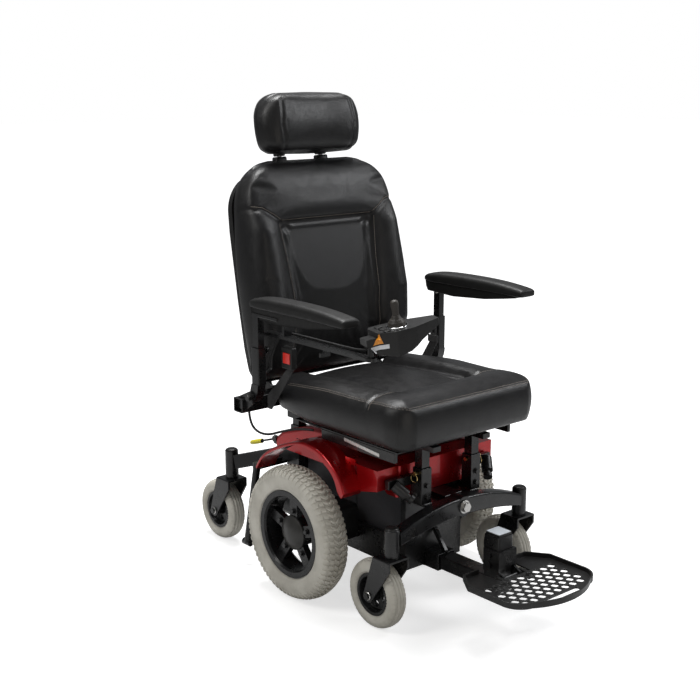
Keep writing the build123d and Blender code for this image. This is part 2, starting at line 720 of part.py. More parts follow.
def cross_tube():
    """Tube with the arm lugs and the hinge plates of the back."""
    with BuildPart() as tube:
        with BuildSketch(Plane.YZ.offset(-CROSS_END)):
            with Locations((CROSS_Y, CROSS_Z)):
                RectangleRounded(CROSS_W, CROSS_W, 4)
        extrude(amount=2 * CROSS_END)
        for side in (RIGHT, LEFT):
            bar(
                across(side, 312, CROSS_END + 1),
                (CROSS_Y - 16, CROSS_Y + 16),
                (CROSS_Z - 16, CROSS_Z + 16),
                mode=Mode.SUBTRACT,
            )
            with BuildSketch(Plane.YZ.offset(across(side, 335, 341)[0])):
                Polygon(
                    (CROSS_Y + 15, CROSS_Z + 18),
                    (ARM_PIVOT[0] + 2, ARM_PIVOT[1] + 16),
                    (ARM_PIVOT[0] - 14, ARM_PIVOT[1] + 8),
                    (ARM_PIVOT[0] - 12, ARM_PIVOT[1] - 14),
                    (CROSS_Y - 17, CROSS_Z - 12),
                    (CROSS_Y + 15, CROSS_Z - 12),
                    align=None,
                )
            extrude(amount=6)
            rod_x((side * 325, *ARM_PIVOT), 6, 36)
            with BuildSketch(Plane.YZ.offset(across(side, 186, 194)[0])):
                Polygon(
                    (CROSS_Y + 17, CROSS_Z - 18),
                    (BACK_PIVOT[0] + 12, BACK_PIVOT[1] - 12),
                    (BACK_PIVOT[0] + 12, BACK_PIVOT[1] + 10),
                    (BACK_PIVOT[0] - 6, BACK_PIVOT[1] + 16),
                    (CROSS_Y + 17, CROSS_Z + 18),
                    align=None,
                )
            extrude(amount=8)
            rod_x((side * 204, *BACK_PIVOT), 7, 36)
    save(tube, "cross_tube")


def seat_cushion():
    """Thick seat cushion; its underside rises towards the rear."""
    with BuildPart() as cushion:
        with BuildSketch(Plane.YZ.offset(-SEAT_X)):
            with BuildLine():
                Polyline(
                    (SEAT_FRONT + 12, SEAT_BASE),
                    (SEAT_FRONT, SEAT_BASE + 30),
                    (SEAT_FRONT, SEAT_SEAM - 10),
                    (SEAT_FRONT + 25, SEAT_SEAM + 10),
                    (-120, SEAT_TOP - 4),
                    (60, SEAT_SEAM),
                    (SEAT_REAR, SEAT_SEAM - 14),
                    (SEAT_REAR, SEAT_BASE + 18),
                    (60, SEAT_BASE),
                    close=True,
                )
            make_face()
        extrude(amount=2 * SEAT_X)
        with BuildSketch(Plane.XY.offset(SEAT_BASE - 5)):
            with Locations((0, (SEAT_FRONT + SEAT_REAR) / 2)):
                RectangleRounded(2 * SEAT_X, SEAT_REAR - SEAT_FRONT, 60)
        extrude(amount=200, mode=Mode.INTERSECT)
        with BuildSketch(Plane.XZ.offset(-SEAT_REAR)):
            Polygon(
                (-SEAT_X, 600),
                (-SEAT_X, SEAT_BASE + 26),
                (-SEAT_X + 42, SEAT_BASE),
                (SEAT_X - 42, SEAT_BASE),
                (SEAT_X, SEAT_BASE + 26),
                (SEAT_X, 600),
                align=None,
            )
        extrude(amount=SEAT_REAR - SEAT_FRONT, mode=Mode.INTERSECT)
    save(cushion, "seat_cushion")


def back_plane():
    """Frame of the reclined back: x across, y along the cushion's depth, z up it."""
    lean = math.radians(BACK_RECLINE)
    return Plane(
        origin=(0, *BACK_PIVOT),
        x_dir=(1, 0, 0),
        z_dir=(0, math.sin(lean), math.cos(lean)),
    )


def back_outline(plane, half, low, high, corner):
    """Front view of the back: straight sides, rounded lower corners, domed top."""
    tight, soft = 0.30 * corner, high - 8
    with BuildSketch(plane) as outline:
        with BuildLine():
            Line((-half + 40, low), (half - 40, low))
            ThreePointArc((half - 40, low), (half - 12, low + 12), (half, low + 40))
            Line((half, low + 40), (half, high - corner))
            ThreePointArc((half, high - corner), (half - tight, high - tight), (half - corner, soft))
            ThreePointArc((half - corner, soft), (0, high), (-half + corner, soft))
            ThreePointArc((-half + corner, soft), (-half + tight, high - tight), (-half, high - corner))
            Line((-half, high - corner), (-half, low + 40))
            ThreePointArc((-half, low + 40), (-half + 12, low + 12), (-half + 40, low))
        make_face()
    return outline.sketch


def back_rest():
    """Back shell with its side plates, and the bolstered back cushion."""
    plane = back_plane()
    across_plane = Plane(origin=plane.origin, x_dir=plane.y_dir, z_dir=plane.x_dir)
    face_plane = Plane(origin=plane.origin, x_dir=plane.x_dir, z_dir=-plane.y_dir)

    with BuildPart() as cushion:
        with BuildSketch(across_plane.offset(-BACK_X)):
            with BuildLine():
                Spline(
                    (-20, BACK_LOW),
                    (-46, 62),
                    (-86, 150),
                    (-95, 240),
                    (-72, 430),
                    (-50, 560),
                    (-26, BACK_TOP),
                )
                Polyline((-26, BACK_TOP), (8, BACK_TOP), (22, 560), (26, 430), (20, 250), (12, 120))
                Polyline((12, 120), (-4, BACK_LOW), (-20, BACK_LOW))
            make_face()
        extrude(amount=2 * BACK_X)
        front_view = back_outline(face_plane.offset(-60), BACK_X, BACK_LOW, BACK_TOP, 120)
        extrude(front_view, amount=200, mode=Mode.INTERSECT)
    save(cushion, "back_cushion")

    shell_half = BACK_X - 18
    with BuildPart() as shell:
        with BuildSketch(across_plane.offset(-shell_half)):
            Polygon(
                (-3, BACK_LOW),
                (13, 120),
                (21, 250),
                (27, 430),
                (23.5, 560),
                (16, 590),
                (30, 590),
                (40, 560),
                (46, 430),
                (40, 250),
                (32, 120),
                (16, BACK_LOW),
                align=None,
            )
        extrude(amount=2 * shell_half)
        front_view = back_outline(face_plane.offset(-60), shell_half, BACK_LOW, BACK_TOP - 20, 110)
        extrude(front_view, amount=200, mode=Mode.INTERSECT)
        for side in (RIGHT, LEFT):
            with BuildSketch(across_plane.offset(across(side, 195, 203)[0])):
                Polygon(
                    (-14, -14),
                    (16, -16),
                    (38, 60),
                    (38, 200),
                    (24, 200),
                    (18, 60),
                    (-6, 14),
                    (-14, 12),
                    align=None,
                )
            extrude(amount=8)
            rod_x((side * 199, *BACK_PIVOT), 7 + RUNNING, 30, mode=Mode.SUBTRACT)
            with Locations(plane):
                with Locations((side * 72, 34.5, 555)):
                    Box(24, 18, 84)
        with Locations(plane):
            for side in (RIGHT, LEFT):
                with Locations((side * 72, 31, 560)):
                    Cylinder(6 + RUNNING, 200, mode=Mode.SUBTRACT)
    save(shell, "back_shell")


def headrest():
    """Two headrest rods and the headrest cushion that they carry."""
    plane = back_plane()
    with BuildPart() as rods:
        with Locations(plane):
            for side in (RIGHT, LEFT):
                with Locations((side * 72, 31, 585)):
                    Cylinder(6, 130)
        with Locations(plane):
            with Locations((0, 31, 650)):
                Box(156, 12, 10)
    save(rods, "headrest_rods")

    face_plane = Plane(origin=plane.origin, x_dir=plane.x_dir, z_dir=-plane.y_dir)
    low, widest, shoulder, high = 628.0, 692.0, 766.0, 786.0
    foot, neck = HEADREST_X - 30, HEADREST_X - 34
    with BuildPart() as cushion:
        with BuildSketch(face_plane.offset(-68)):
            with BuildLine():
                Line((-foot, low), (foot, low))
                ThreePointArc((foot, low), (HEADREST_X, widest), (neck, shoulder))
                ThreePointArc((neck, shoulder), (0, high), (-neck, shoulder))
                ThreePointArc((-neck, shoulder), (-HEADREST_X, widest), (-foot, low))
            make_face()
        extrude(amount=96)
        with Locations(plane):
            for side in (RIGHT, LEFT):
                with Locations((side * 72, 31, 620)):
                    Cylinder(6.3, 62, mode=Mode.SUBTRACT)
            with Locations((0, 31, 640)):
                Box(157, 13, 31, mode=Mode.SUBTRACT)
    save(cushion, "headrest_cushion")


def recline_lever():
    """Lever at the user's left that frees the back."""
    with BuildPart() as lever:
        rod_x((216.5, BACK_PIVOT[0], BACK_PIVOT[1]), 13, 5)
        with BuildSketch(Plane.YZ.offset(214)):
            Polygon(
                (BACK_PIVOT[0], BACK_PIVOT[1] - 13),
                (BACK_PIVOT[0] + 5, BACK_PIVOT[1] + 12),
                (BACK_PIVOT[0] + 62, BACK_PIVOT[1] + 2),
                (BACK_PIVOT[0] + 60, BACK_PIVOT[1] - 14),
                align=None,
            )
        extrude(amount=5)
        rod_x((216.5, *BACK_PIVOT), 8.4, 20, mode=Mode.SUBTRACT)
    save(lever, "recline_lever")


# ---------------------------------------------------------------- arms
def arm(side, name):
    """Flip-up socket, sliding post with its clamp knob, and the moulded pad."""
    low, high = across(side, ARM_X - 11, ARM_X + 15)
    y0, y1 = ARM_POST_Y - 15, ARM_POST_Y + 15
    wall = 3.0
    with BuildPart() as socket:
        bar((low, high), (y0, y1), (566, ARM_SOCKET_TOP))
        fillet(socket.edges().filter_by(Axis.Z), 3)
        neck = across(side, ARM_X - 8, ARM_X + 16.5)
        with BuildSketch(Plane.YZ.offset(neck[0])):
            Polygon(
                (y0 + 1, 566.5),
                (y0 + 4, 548),
                (ARM_PIVOT[0] - 13, ARM_PIVOT[1] - 9),
                (ARM_PIVOT[0] + 3, ARM_PIVOT[1] - 15),
                (ARM_PIVOT[0] + 14, ARM_PIVOT[1]),
                (ARM_PIVOT[0] + 6, ARM_PIVOT[1] + 14),
                (y1 - 1, 566.5),
                align=None,
            )
        extrude(amount=neck[1] - neck[0])
        bar((low + wall, high - wall), (y0 + wall, y1 - wall), (570, ARM_SOCKET_TOP + 1), mode=Mode.SUBTRACT)
        rod_x((side * ARM_X, *ARM_PIVOT), 6 + RUNNING, 60, mode=Mode.SUBTRACT)
        knob = side * (ARM_X - 11)
        rod_x((knob - side * 4, ARM_POST_Y, 652), 6, 8)
        rod_x((knob - side * 10, ARM_POST_Y, 652), 9, 6)
    save(socket, f"arm_socket_{name}")

    gap = wall + SLIDING
    with BuildPart() as post:
        bar((low + gap, high - gap), (y0 + gap, y1 - gap), (575, 742))
        bar((low + gap, high - gap), (y0 - 75, y1), (742, 750))
    save(post, f"arm_post_{name}")

    half = PAD_W / 2
    with BuildPart() as pad:
        with BuildSketch(Plane.YZ.offset(side * PAD_X - half)):
            with BuildLine():
                Polyline((176, 782), (173, 752), (166, 736), (60, 732))
                Polyline((60, 732), (-60, 741), (-140, 753), (-186, 759), (-196, 767))
                Polyline((-196, 767), (-194, 784), (-100, 794))
                ThreePointArc((-100, 794), (30, 797), (150, 790))
                Line((150, 790), (176, 782))
            make_face()
        extrude(amount=PAD_W)
        bar(
            (low + gap - 0.3, high - gap + 0.3),
            (y0 - 76, y1 + 1),
            (700, 750.2),
            mode=Mode.SUBTRACT,
        )
    save(pad, f"arm_pad_{name}")


# ---------------------------------------------------------------- controller
HEEL = (-302.0, -236.0, 742.0)


def controller_plane():
    """Frame of the controller: x towards its tip, z up through its top."""
    yaw, pitch = math.radians(-15), math.radians(8)
    x_dir = (math.cos(yaw) * math.cos(pitch), math.sin(yaw) * math.cos(pitch), math.sin(pitch))
    y_dir = (-math.sin(yaw), math.cos(yaw), 0)
    z_dir = Vector(*x_dir).cross(Vector(*y_dir))
    return Plane(origin=HEEL, x_dir=x_dir, z_dir=z_dir)


STICK_X = 86.0


def controller():
    """Swing bracket, wedge-shaped housing, joystick on its gimbal, and the keys."""
    plane = controller_plane()
    side_plane = Plane(origin=plane.origin, x_dir=plane.x_dir, z_dir=-plane.y_dir)
    low, high = 690.0, 698.0
    heel_x, heel_y = -284.0, -236.0
    with BuildPart() as bracket:
        bar((heel_x - 12.5, heel_x + 12.5), (heel_y, 160), (low, high))
        bar((-310.5, heel_x), (140, 160), (low, high))
        bar((heel_x - 12.5, heel_x + 12.5), (74, 82), (high, 731))
        with Locations((heel_x, heel_y, (low + high) / 2)):
            Cylinder(15, high - low)
        with Locations((heel_x, heel_y, high + 12)):
            Cylinder(7, 24)
        with Locations((heel_x, -70, low - 5)):
            Cylinder(5, 10)
        with Locations((heel_x, -70, low - 14)):
            Box(30, 7, 10)
    save(bracket, "controller_bracket")

    with BuildPart() as housing:
        with BuildSketch(side_plane.offset(-46)):
            Polygon(
                (-4, 3),
                (22, 3),
                (25, 14),
                (188, 14),
                (193, 8),
                (188, -2),
                (130, -22),
                (96, -40),
                (60, -46),
                (20, -36),
                (-4, -12),
                align=None,
            )
        extrude(amount=92)
        with BuildSketch(plane.offset(-60)):
            with BuildLine():
                Polyline((-4, -17), (24, -19), (62, -44), (112, -43), (188, -16), (193, -8))
                Polyline((193, -8), (193, 8), (188, 16), (112, 43), (34, 44), (24, 30))
                Polyline((24, 30), (24, 17), (-4, 17), (-4, -17))
            make_face()
        extrude(amount=90, mode=Mode.INTERSECT)
        with Locations((heel_x, heel_y, high + 12.5)):
            Cylinder(7 + RUNNING, 26, mode=Mode.SUBTRACT)
        with Locations(plane):
            with Locations((STICK_X, 0, 4)):
                Cylinder(24, 24, mode=Mode.SUBTRACT)
            for x, y in ((48, 22), (48, -22), (48, 0)):
                with Locations((x, y, 12)):
                    Box(17, 13, 6, mode=Mode.SUBTRACT)
    save(housing, "controller_housing")

    with BuildPart() as gimbal:
        with BuildSketch(side_plane):
            with BuildLine():
                Polyline((STICK_X, 5), (STICK_X + 18, 5), (STICK_X + 18, 13))
                ThreePointArc((STICK_X + 18, 13), (STICK_X + 14.8, 21), (STICK_X + 9.5, 26))
                Polyline((STICK_X + 9.5, 26), (STICK_X, 26), (STICK_X, 5))
            make_face()
        base = plane.from_local_coords((STICK_X, 0, 0))
        revolve(axis=Axis(base, plane.z_dir))
        with Locations(plane):
            with Locations((STICK_X, 0, 15)):
                Box(9, 24, 60, mode=Mode.SUBTRACT)
    save(gimbal, "joystick_gimbal")

    grip_r, grip_z, grip_rise = 9.5, 64, 12.0
    mid_r, mid_up = dome_middle(grip_r, grip_rise)
    with BuildPart() as stick:
        with BuildSketch(side_plane):
            with BuildLine():
                Polyline((STICK_X, 7), (STICK_X + 4, 7), (STICK_X + 4, 33), (STICK_X + 8, 33))
                Polyline((STICK_X + 8, 33), (STICK_X + 7.5, 46), (STICK_X + grip_r, grip_z))
                ThreePointArc(
                    (STICK_X + grip_r, grip_z),
                    (STICK_X + mid_r, grip_z + mid_up),
                    (STICK_X, grip_z + grip_rise),
                )
                Line((STICK_X, grip_z + grip_rise), (STICK_X, 7))
            make_face()
        revolve(axis=Axis(plane.from_local_coords((STICK_X, 0, 0)), plane.z_dir))
    save(stick, "joystick_knob")

    keys = {"power_key": (48, 22), "horn_key": (48, -22), "speed_rocker": (48, 0)}
    for label, (x, y) in keys.items():
        with BuildPart() as key:
            with Locations(plane):
                with Locations((x, y, 13.5)):
                    Box(16, 12, 5)
            fillet(key.faces().sort_by(Axis.Z)[-1].edges(), 1.2)
        save(key, label)


def cable():
    """Controller lead, clipped at the arm socket and led forward under the seat."""
    route = [
        (-289, 140, 604),
        (-289, 172, 580),
        (-289, 210, 548),
        (-289, 236, 508),
        (-289, 242, 460),
        (-285, 228, 421),
        (-272, 188, 410),
        (-250, 140, 430),
        (-231, 97, 442),
        (-216, 60, 443),
    ]
    points = [Vector(*p) for p in route]
    radii = []
    for a, b, c in zip(points, points[1:], points[2:]):
        turn = math.radians((b - a).get_angle(c - b))
        radii.append(0.45 * min((b - a).length, (c - b).length) / math.tan(turn / 2))
    with BuildPart() as lead:
        with BuildLine() as path:
            FilletPolyline(*route, radius=radii)
        wire = path.wires()[0]
        start = Plane(origin=wire @ 0, z_dir=wire % 0)
        with BuildSketch(start):
            Circle(CABLE_D / 2)
        sweep()
    section = math.pi * CABLE_D**2 / 4
    print("cable radii", [round(r, 1) for r in radii])
    ratio = lead.part.volume / (section * wire.length)
    print("cable length", round(wire.length, 1), "volume over section times length", round(ratio, 4))
    save(lead, "controller_cable")


# ---------------------------------------------------------------- lap belt
def lap_belt():
    """Webbing at both sides, the buckle with its press button, and the tongue."""
    with BuildPart() as straps:
        for side in (RIGHT, LEFT):
            top = [(68, 612), (92, 612)] if side == RIGHT else [(104, 596), (134, 596)]
            with BuildSketch(Plane.YZ.offset(across(side, 268.5, 271)[0])):
                Polygon(*top, (182, 520), (182, 486), (165, 486), align=None)
            extrude(amount=2.5)
        bar((266, 271), (100, 138), (596.5, 616))
        bar((268, 271), (108, 130), (616, 640))
        bar((260, 280), (113, 125), (622, 632), mode=Mode.SUBTRACT)
    save(straps, "belt_straps")

    with BuildPart() as buckle:
        bar((-286.5, -268), (60, 100), (612, 668))
        fillet(buckle.edges(), 3)
        bar((-292, -279), (64, 92), (626, 654), mode=Mode.SUBTRACT)
    save(buckle, "belt_buckle")

    with BuildPart() as button:
        bar((-288.5, -281), (64.5, 91.5), (626.5, 653.5))
        fillet(button.faces().sort_by(Axis.X)[0].edges(), 1)
    save(button, "buckle_button")


# ---------------------------------------------------------------- build
front_frame()
base_frame()
batteries()
shroud()
front_beam()
beam_pivot_bolt()
roll_buffers()
seat_pins()
footrest()
seat_frame()
cross_tube()
seat_cushion()
back_rest()
headrest()
recline_lever()
controller()
cable()
lap_belt()
for name, side in SIDES.items():
    gearmotor(side, name)
    freewheel_lever(side, name)
    fender(side, name)
    drive_wheel(side, name)
    arm(side, name)
    for place in KINGPIN:
        caster(place, side, name)
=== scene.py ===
"""Looks of the power wheelchair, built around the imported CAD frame. Metres, +Z up, faces -Y."""

import json
import math

import bmesh
import bpy
import numpy as np
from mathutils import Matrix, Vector
from mathutils.bvhtree import BVHTree


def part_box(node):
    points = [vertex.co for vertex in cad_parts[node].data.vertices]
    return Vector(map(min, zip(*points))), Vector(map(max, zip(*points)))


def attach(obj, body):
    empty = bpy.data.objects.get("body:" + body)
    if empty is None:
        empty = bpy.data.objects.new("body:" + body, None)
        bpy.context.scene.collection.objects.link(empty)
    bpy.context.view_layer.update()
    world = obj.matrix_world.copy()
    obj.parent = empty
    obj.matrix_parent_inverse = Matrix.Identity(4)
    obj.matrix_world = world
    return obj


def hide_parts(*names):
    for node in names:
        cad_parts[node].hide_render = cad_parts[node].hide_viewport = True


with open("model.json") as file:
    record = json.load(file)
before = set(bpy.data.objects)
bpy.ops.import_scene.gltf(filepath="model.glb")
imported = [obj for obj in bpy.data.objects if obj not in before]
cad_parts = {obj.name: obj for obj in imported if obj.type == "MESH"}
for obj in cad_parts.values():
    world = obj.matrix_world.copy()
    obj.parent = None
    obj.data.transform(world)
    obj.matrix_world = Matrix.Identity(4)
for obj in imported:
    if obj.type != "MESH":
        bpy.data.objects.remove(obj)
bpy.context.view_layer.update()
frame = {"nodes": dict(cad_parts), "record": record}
nodes = frame["nodes"]
SIDES = {"right": -1, "left": 1}
rng = np.random.default_rng(7)

DRIVE_AXLE = (0.066, 0.178)  # along and up
WHEEL_BOLT_CIRCLE = 0.058
BACK_PIVOT = (0.262, 0.505)
LEAN = math.radians(8)  # of the back at rest
CLOTH_FRAMES = 20
STITCH_PITCH, STITCH_LENGTH, THREAD_RADIUS = 0.0052, 0.0040, 0.00065
LEAD_RADIUS = 0.00325
STICK_X = 0.086  # joystick, from the heel of the controller


# ---------------------------------------------------------------- materials
def shader(name, color, rough, metallic=0.0, specular=0.5, coat=0.0, coat_rough=0.1, sheen=0.0):
    """New Principled material; gives its node tree helpers too."""
    m = bpy.data.materials.new(name)
    m.use_nodes = True
    tree = m.node_tree
    p = tree.nodes["Principled BSDF"]
    p.inputs["Base Color"].default_value = (*color, 1)
    p.inputs["Roughness"].default_value = rough
    p.inputs["Metallic"].default_value = metallic
    p.inputs["Specular IOR Level"].default_value = specular
    p.inputs["Coat Weight"].default_value = coat
    p.inputs["Coat Roughness"].default_value = coat_rough
    p.inputs["Sheen Weight"].default_value = sheen
    return m, tree, p


def node(tree, kind, **values):
    n = tree.nodes.new(kind)
    for key, value in values.items():
        if key in n.inputs:
            n.inputs[key].default_value = value
        else:
            setattr(n, key, value)
    return n


def noise(tree, scale, detail):
    place = node(tree, "ShaderNodeTexCoord")
    n = node(tree, "ShaderNodeTexNoise", Scale=scale, Detail=detail, Roughness=0.6)
    tree.links.new(place.outputs["Object"], n.inputs["Vector"])
    return n.outputs["Fac"]


def cells(tree, scale, feature="F1", output="Distance"):
    place = node(tree, "ShaderNodeTexCoord")
    n = node(tree, "ShaderNodeTexVoronoi", Scale=scale)
    n.feature = feature
    tree.links.new(place.outputs["Object"], n.inputs["Vector"])
    return n.outputs[output]


def remap(tree, value, low, high, out_low, out_high):
    n = node(tree, "ShaderNodeMapRange")
    n.inputs["From Min"].default_value = low
    n.inputs["From Max"].default_value = high
    n.inputs["To Min"].default_value = out_low
    n.inputs["To Max"].default_value = out_high
    tree.links.new(value, n.inputs["Value"])
    return n.outputs["Result"]


def mix_color(tree, fac, a, b):
    n = node(tree, "ShaderNodeMix", data_type="RGBA")
    n.inputs[6].default_value = (*a, 1)
    n.inputs[7].default_value = (*b, 1)
    tree.links.new(fac, n.inputs["Factor"])
    return n.outputs[2]


def add_bump(tree, p, heights, distance):
    """Bumps from (height, strength) pairs, one on top of the other."""
    last = None
    for height, strength in heights:
        b = node(tree, "ShaderNodeBump", Strength=strength, Distance=distance)
        tree.links.new(height, b.inputs["Height"])
        if last is not None:
            tree.links.new(last, b.inputs["Normal"])
        last = b.outputs["Normal"]
    tree.links.new(last, p.inputs["Normal"])


def vinyl():
    m, t, p = shader("black_vinyl", (0.007, 0.007, 0.008), 0.36, specular=0.38)
    broad = noise(t, 7, 3)
    grain = cells(t, 620, "DISTANCE_TO_EDGE")
    blotch = mix_color(t, broad, (0.0050, 0.0050, 0.0060), (0.0095, 0.0090, 0.0085))
    t.links.new(blotch, p.inputs["Base Color"])
    t.links.new(remap(t, noise(t, 45, 5), 0.3, 0.7, 0.30, 0.44), p.inputs["Roughness"])
    pores = remap(t, grain, 0.0, 0.25, 0.0, 1.0)
    add_bump(t, p, [(noise(t, 26, 4), 0.10), (pores, 0.16)], 0.0006)
    return m


def urethane():
    m, t, p = shader("arm_pad", (0.008, 0.008, 0.008), 0.46, specular=0.3)
    blotch = mix_color(t, noise(t, 12, 4), (0.0055, 0.0055, 0.0055), (0.010, 0.0095, 0.009))
    t.links.new(blotch, p.inputs["Base Color"])
    t.links.new(remap(t, noise(t, 60, 4), 0.3, 0.7, 0.42, 0.58), p.inputs["Roughness"])
    add_bump(t, p, [(cells(t, 900), 0.10), (noise(t, 90, 4), 0.08)], 0.0005)
    return m


def plastic(name, color, rough, grain=1400, depth=0.08):
    m, t, p = shader(name, color, rough, specular=0.38)
    lighter = tuple(min(1.0, c * 1.35 + 0.002) for c in color)
    t.links.new(mix_color(t, noise(t, 18, 5), color, lighter), p.inputs["Base Color"])
    t.links.new(remap(t, noise(t, 70, 5), 0.3, 0.7, rough - 0.07, rough + 0.08), p.inputs["Roughness"])
    add_bump(t, p, [(cells(t, grain), depth), (noise(t, 35, 3), depth * 0.6)], 0.0004)
    return m


def frame_paint(name="black_frame", color=(0.0045, 0.0045, 0.0048), rough=0.26):
    """Powder coat: orange peel, dust on broad patches, edges worn a little lighter."""
    m, t, p = shader(name, color, rough, specular=0.40, coat=0.15, coat_rough=0.12)
    point = node(t, "ShaderNodeNewGeometry")
    edge = remap(t, point.outputs["Pointiness"], 0.53, 0.60, 0.0, 1.0)
    broken = node(t, "ShaderNodeMath", operation="MULTIPLY")
    t.links.new(edge, broken.inputs[0])
    t.links.new(remap(t, noise(t, 120, 6), 0.45, 0.65, 0.0, 0.7), broken.inputs[1])
    t.links.new(mix_color(t, broken.outputs[0], color, (0.030, 0.028, 0.026)), p.inputs["Base Color"])
    t.links.new(remap(t, noise(t, 22, 5), 0.3, 0.75, rough - 0.06, rough + 0.16), p.inputs["Roughness"])
    add_bump(t, p, [(noise(t, 420, 2), 0.10)], 0.0004)
    return m


def candy_red():
    """Metallic candy red under a clear coat, with fine flake."""
    m, t, p = shader("red_body", (0.34, 0.001, 0.003), 0.30, metallic=0.7, coat=0.55, coat_rough=0.03)
    flake = cells(t, 2600, output="Color")
    split = node(t, "ShaderNodeSeparateColor")
    t.links.new(flake, split.inputs["Color"])
    flecks = mix_color(t, split.outputs["Red"], (0.24, 0.0006, 0.0020), (0.50, 0.002, 0.005))
    t.links.new(flecks, p.inputs["Base Color"])
    t.links.new(remap(t, noise(t, 30, 4), 0.3, 0.7, 0.26, 0.36), p.inputs["Roughness"])
    add_bump(t, p, [(noise(t, 260, 2), 0.03)], 0.0004)
    return m


def tyre_rubber():
    """Non-marking grey rubber, a little dirty."""
    m, t, p = shader("grey_tyre", (0.27, 0.255, 0.225), 0.6, specular=0.35)
    dirt = remap(t, noise(t, 16, 7), 0.35, 0.75, 0.0, 1.0)
    t.links.new(mix_color(t, dirt, (0.56, 0.54, 0.48), (0.38, 0.36, 0.31)), p.inputs["Base Color"])
    t.links.new(remap(t, noise(t, 80, 4), 0.3, 0.7, 0.54, 0.70), p.inputs["Roughness"])
    add_bump(t, p, [(noise(t, 300, 4), 0.12)], 0.0005)
    return m


def steel(name, color, rough, scratch=0.08):
    m, t, p = shader(name, color, rough, metallic=1.0)
    darker = tuple(c * 0.75 for c in color)
    t.links.new(mix_color(t, noise(t, 55, 5), darker, color), p.inputs["Base Color"])
    t.links.new(remap(t, noise(t, 130, 4), 0.3, 0.7, rough - 0.06, rough + 0.1), p.inputs["Roughness"])
    add_bump(t, p, [(noise(t, 500, 3), scratch)], 0.0003)
    return m


def webbing():
    m, t, p = shader("webbing", (0.01, 0.01, 0.0105), 0.7, sheen=0.1)
    place = node(t, "ShaderNodeTexCoord")
    waves = []
    for direction in ("Y", "Z"):
        w = node(t, "ShaderNodeTexWave", Scale=330.0, bands_direction=direction)
        t.links.new(place.outputs["Object"], w.inputs["Vector"])
        waves.append(w.outputs["Fac"])
    ribs = mix_color(t, waves[0], (0.006, 0.006, 0.0065), (0.018, 0.0175, 0.0175))
    t.links.new(ribs, p.inputs["Base Color"])
    add_bump(t, p, [(waves[0], 0.35), (waves[1], 0.35)], 0.0006)
    return m


def glossy(name, color, rough):
    m, t, p = shader(name, color, rough, coat=0.5, coat_rough=0.08)
    darker = tuple(c * 0.8 for c in color)
    t.links.new(mix_color(t, noise(t, 40, 3), darker, color), p.inputs["Base Color"])
    add_bump(t, p, [(noise(t, 300, 2), 0.04)], 0.0003)
    return m


MATERIALS = {
    "black_frame": frame_paint(),
    "red_body": candy_red(),
    "grey_tyre": tyre_rubber(),
    "black_plastic": plastic("black_plastic", (0.008, 0.0078, 0.0076), 0.34),
    "wheel_black": plastic("wheel_black", (0.0045, 0.0045, 0.0048), 0.30, 1800, 0.04),
    "black_vinyl": vinyl(),
    "arm_pad": urethane(),
    "bright_steel": steel("bright_steel", (0.62, 0.61, 0.59), 0.28),
    "chrome": steel("chrome", (0.75, 0.75, 0.75), 0.10, 0.02),
    "battery_case": plastic("battery_case", (0.06, 0.06, 0.065), 0.5),
    "motor_black": frame_paint("motor_black", (0.006, 0.006, 0.0063), 0.42),
    "webbing": webbing(),
    "red_button": glossy("red_button", (0.75, 0.03, 0.02), 0.25),
    "cable_sheath": plastic("cable_sheath", (0.012, 0.012, 0.012), 0.5, 2200, 0.06),
}
HUB_GREY = plastic("hub_grey", (0.022, 0.021, 0.019), 0.34, 1500, 0.05)
BRASS = steel("brass", (0.66, 0.48, 0.20), 0.24)
YELLOW = glossy("yellow_sleeve", (0.80, 0.70, 0.03), 0.38)
ORANGE = glossy("orange_sticker", (0.90, 0.33, 0.02), 0.35)
WHITE = glossy("white_sticker", (0.75, 0.77, 0.80), 0.4)
BOOT = plastic("boot_rubber", (0.030, 0.026, 0.022), 0.5, 900, 0.1)
# Stitches' pale warm colour: partly their own, partly a painted highlight along the seams
THREAD_AND_SEAM_HIGHLIGHT = plastic("thread_and_seam_highlight", (0.150, 0.130, 0.110), 0.55, 3000, 0.1)
CAP_GREY = plastic("cap_grey", (0.42, 0.45, 0.48), 0.42, 1500, 0.05)


# ---------------------------------------------------------------- mesh helpers
def paint(obj, mat):
    obj.data.materials.clear()
    obj.data.materials.append(mat)


def dress(obj, width=0.0012, segments=2, angle=32):
    """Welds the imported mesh's split edges and rounds its hard ones, by modifiers only."""
    custom = obj.data.attributes.get("custom_normal")
    if custom is not None:
        obj.data.attributes.remove(custom)
    for poly in obj.data.polygons:
        poly.use_smooth = True
    weld = obj.modifiers.new("weld", "WELD")
    weld.merge_threshold = 0.00002
    bevel = obj.modifiers.new("bevel", "BEVEL")
    bevel.width = width
    bevel.segments = segments
    bevel.limit_method = "ANGLE"
    bevel.angle_limit = math.radians(angle)
    bevel.harden_normals = True
    bevel.use_clamp_overlap = True


def new_object(name, mesh, body, mat, smooth=True):
    obj = bpy.data.objects.new(name, mesh)
    bpy.context.scene.collection.objects.link(obj)
    if smooth:
        for poly in mesh.polygons:
            poly.use_smooth = True
    paint(obj, mat)
    if body:
        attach(obj, body)
    return obj


def from_data(name, verts, faces, body, mat, smooth=True):
    mesh = bpy.data.meshes.new(name)
    mesh.from_pydata([tuple(v) for v in verts], [], [tuple(f) for f in faces])
    mesh.update()
    b = bmesh.new()
    b.from_mesh(mesh)
    bmesh.ops.recalc_face_normals(b, faces=b.faces)
    b.to_mesh(mesh)
    b.free()
    return new_object(name, mesh, body, mat, smooth)


def bevelled(obj, width, segments=2, angle=35):
    mod = obj.modifiers.new("bevel", "BEVEL")
    mod.width = width
    mod.segments = segments
    mod.limit_method = "ANGLE"
    mod.angle_limit = math.radians(angle)
    mod.harden_normals = True
    return obj


def axes_to(direction):
    """Rotation that takes +Z onto a direction."""
    return Vector((0, 0, 1)).rotation_difference(Vector(direction).normalized()).to_matrix()


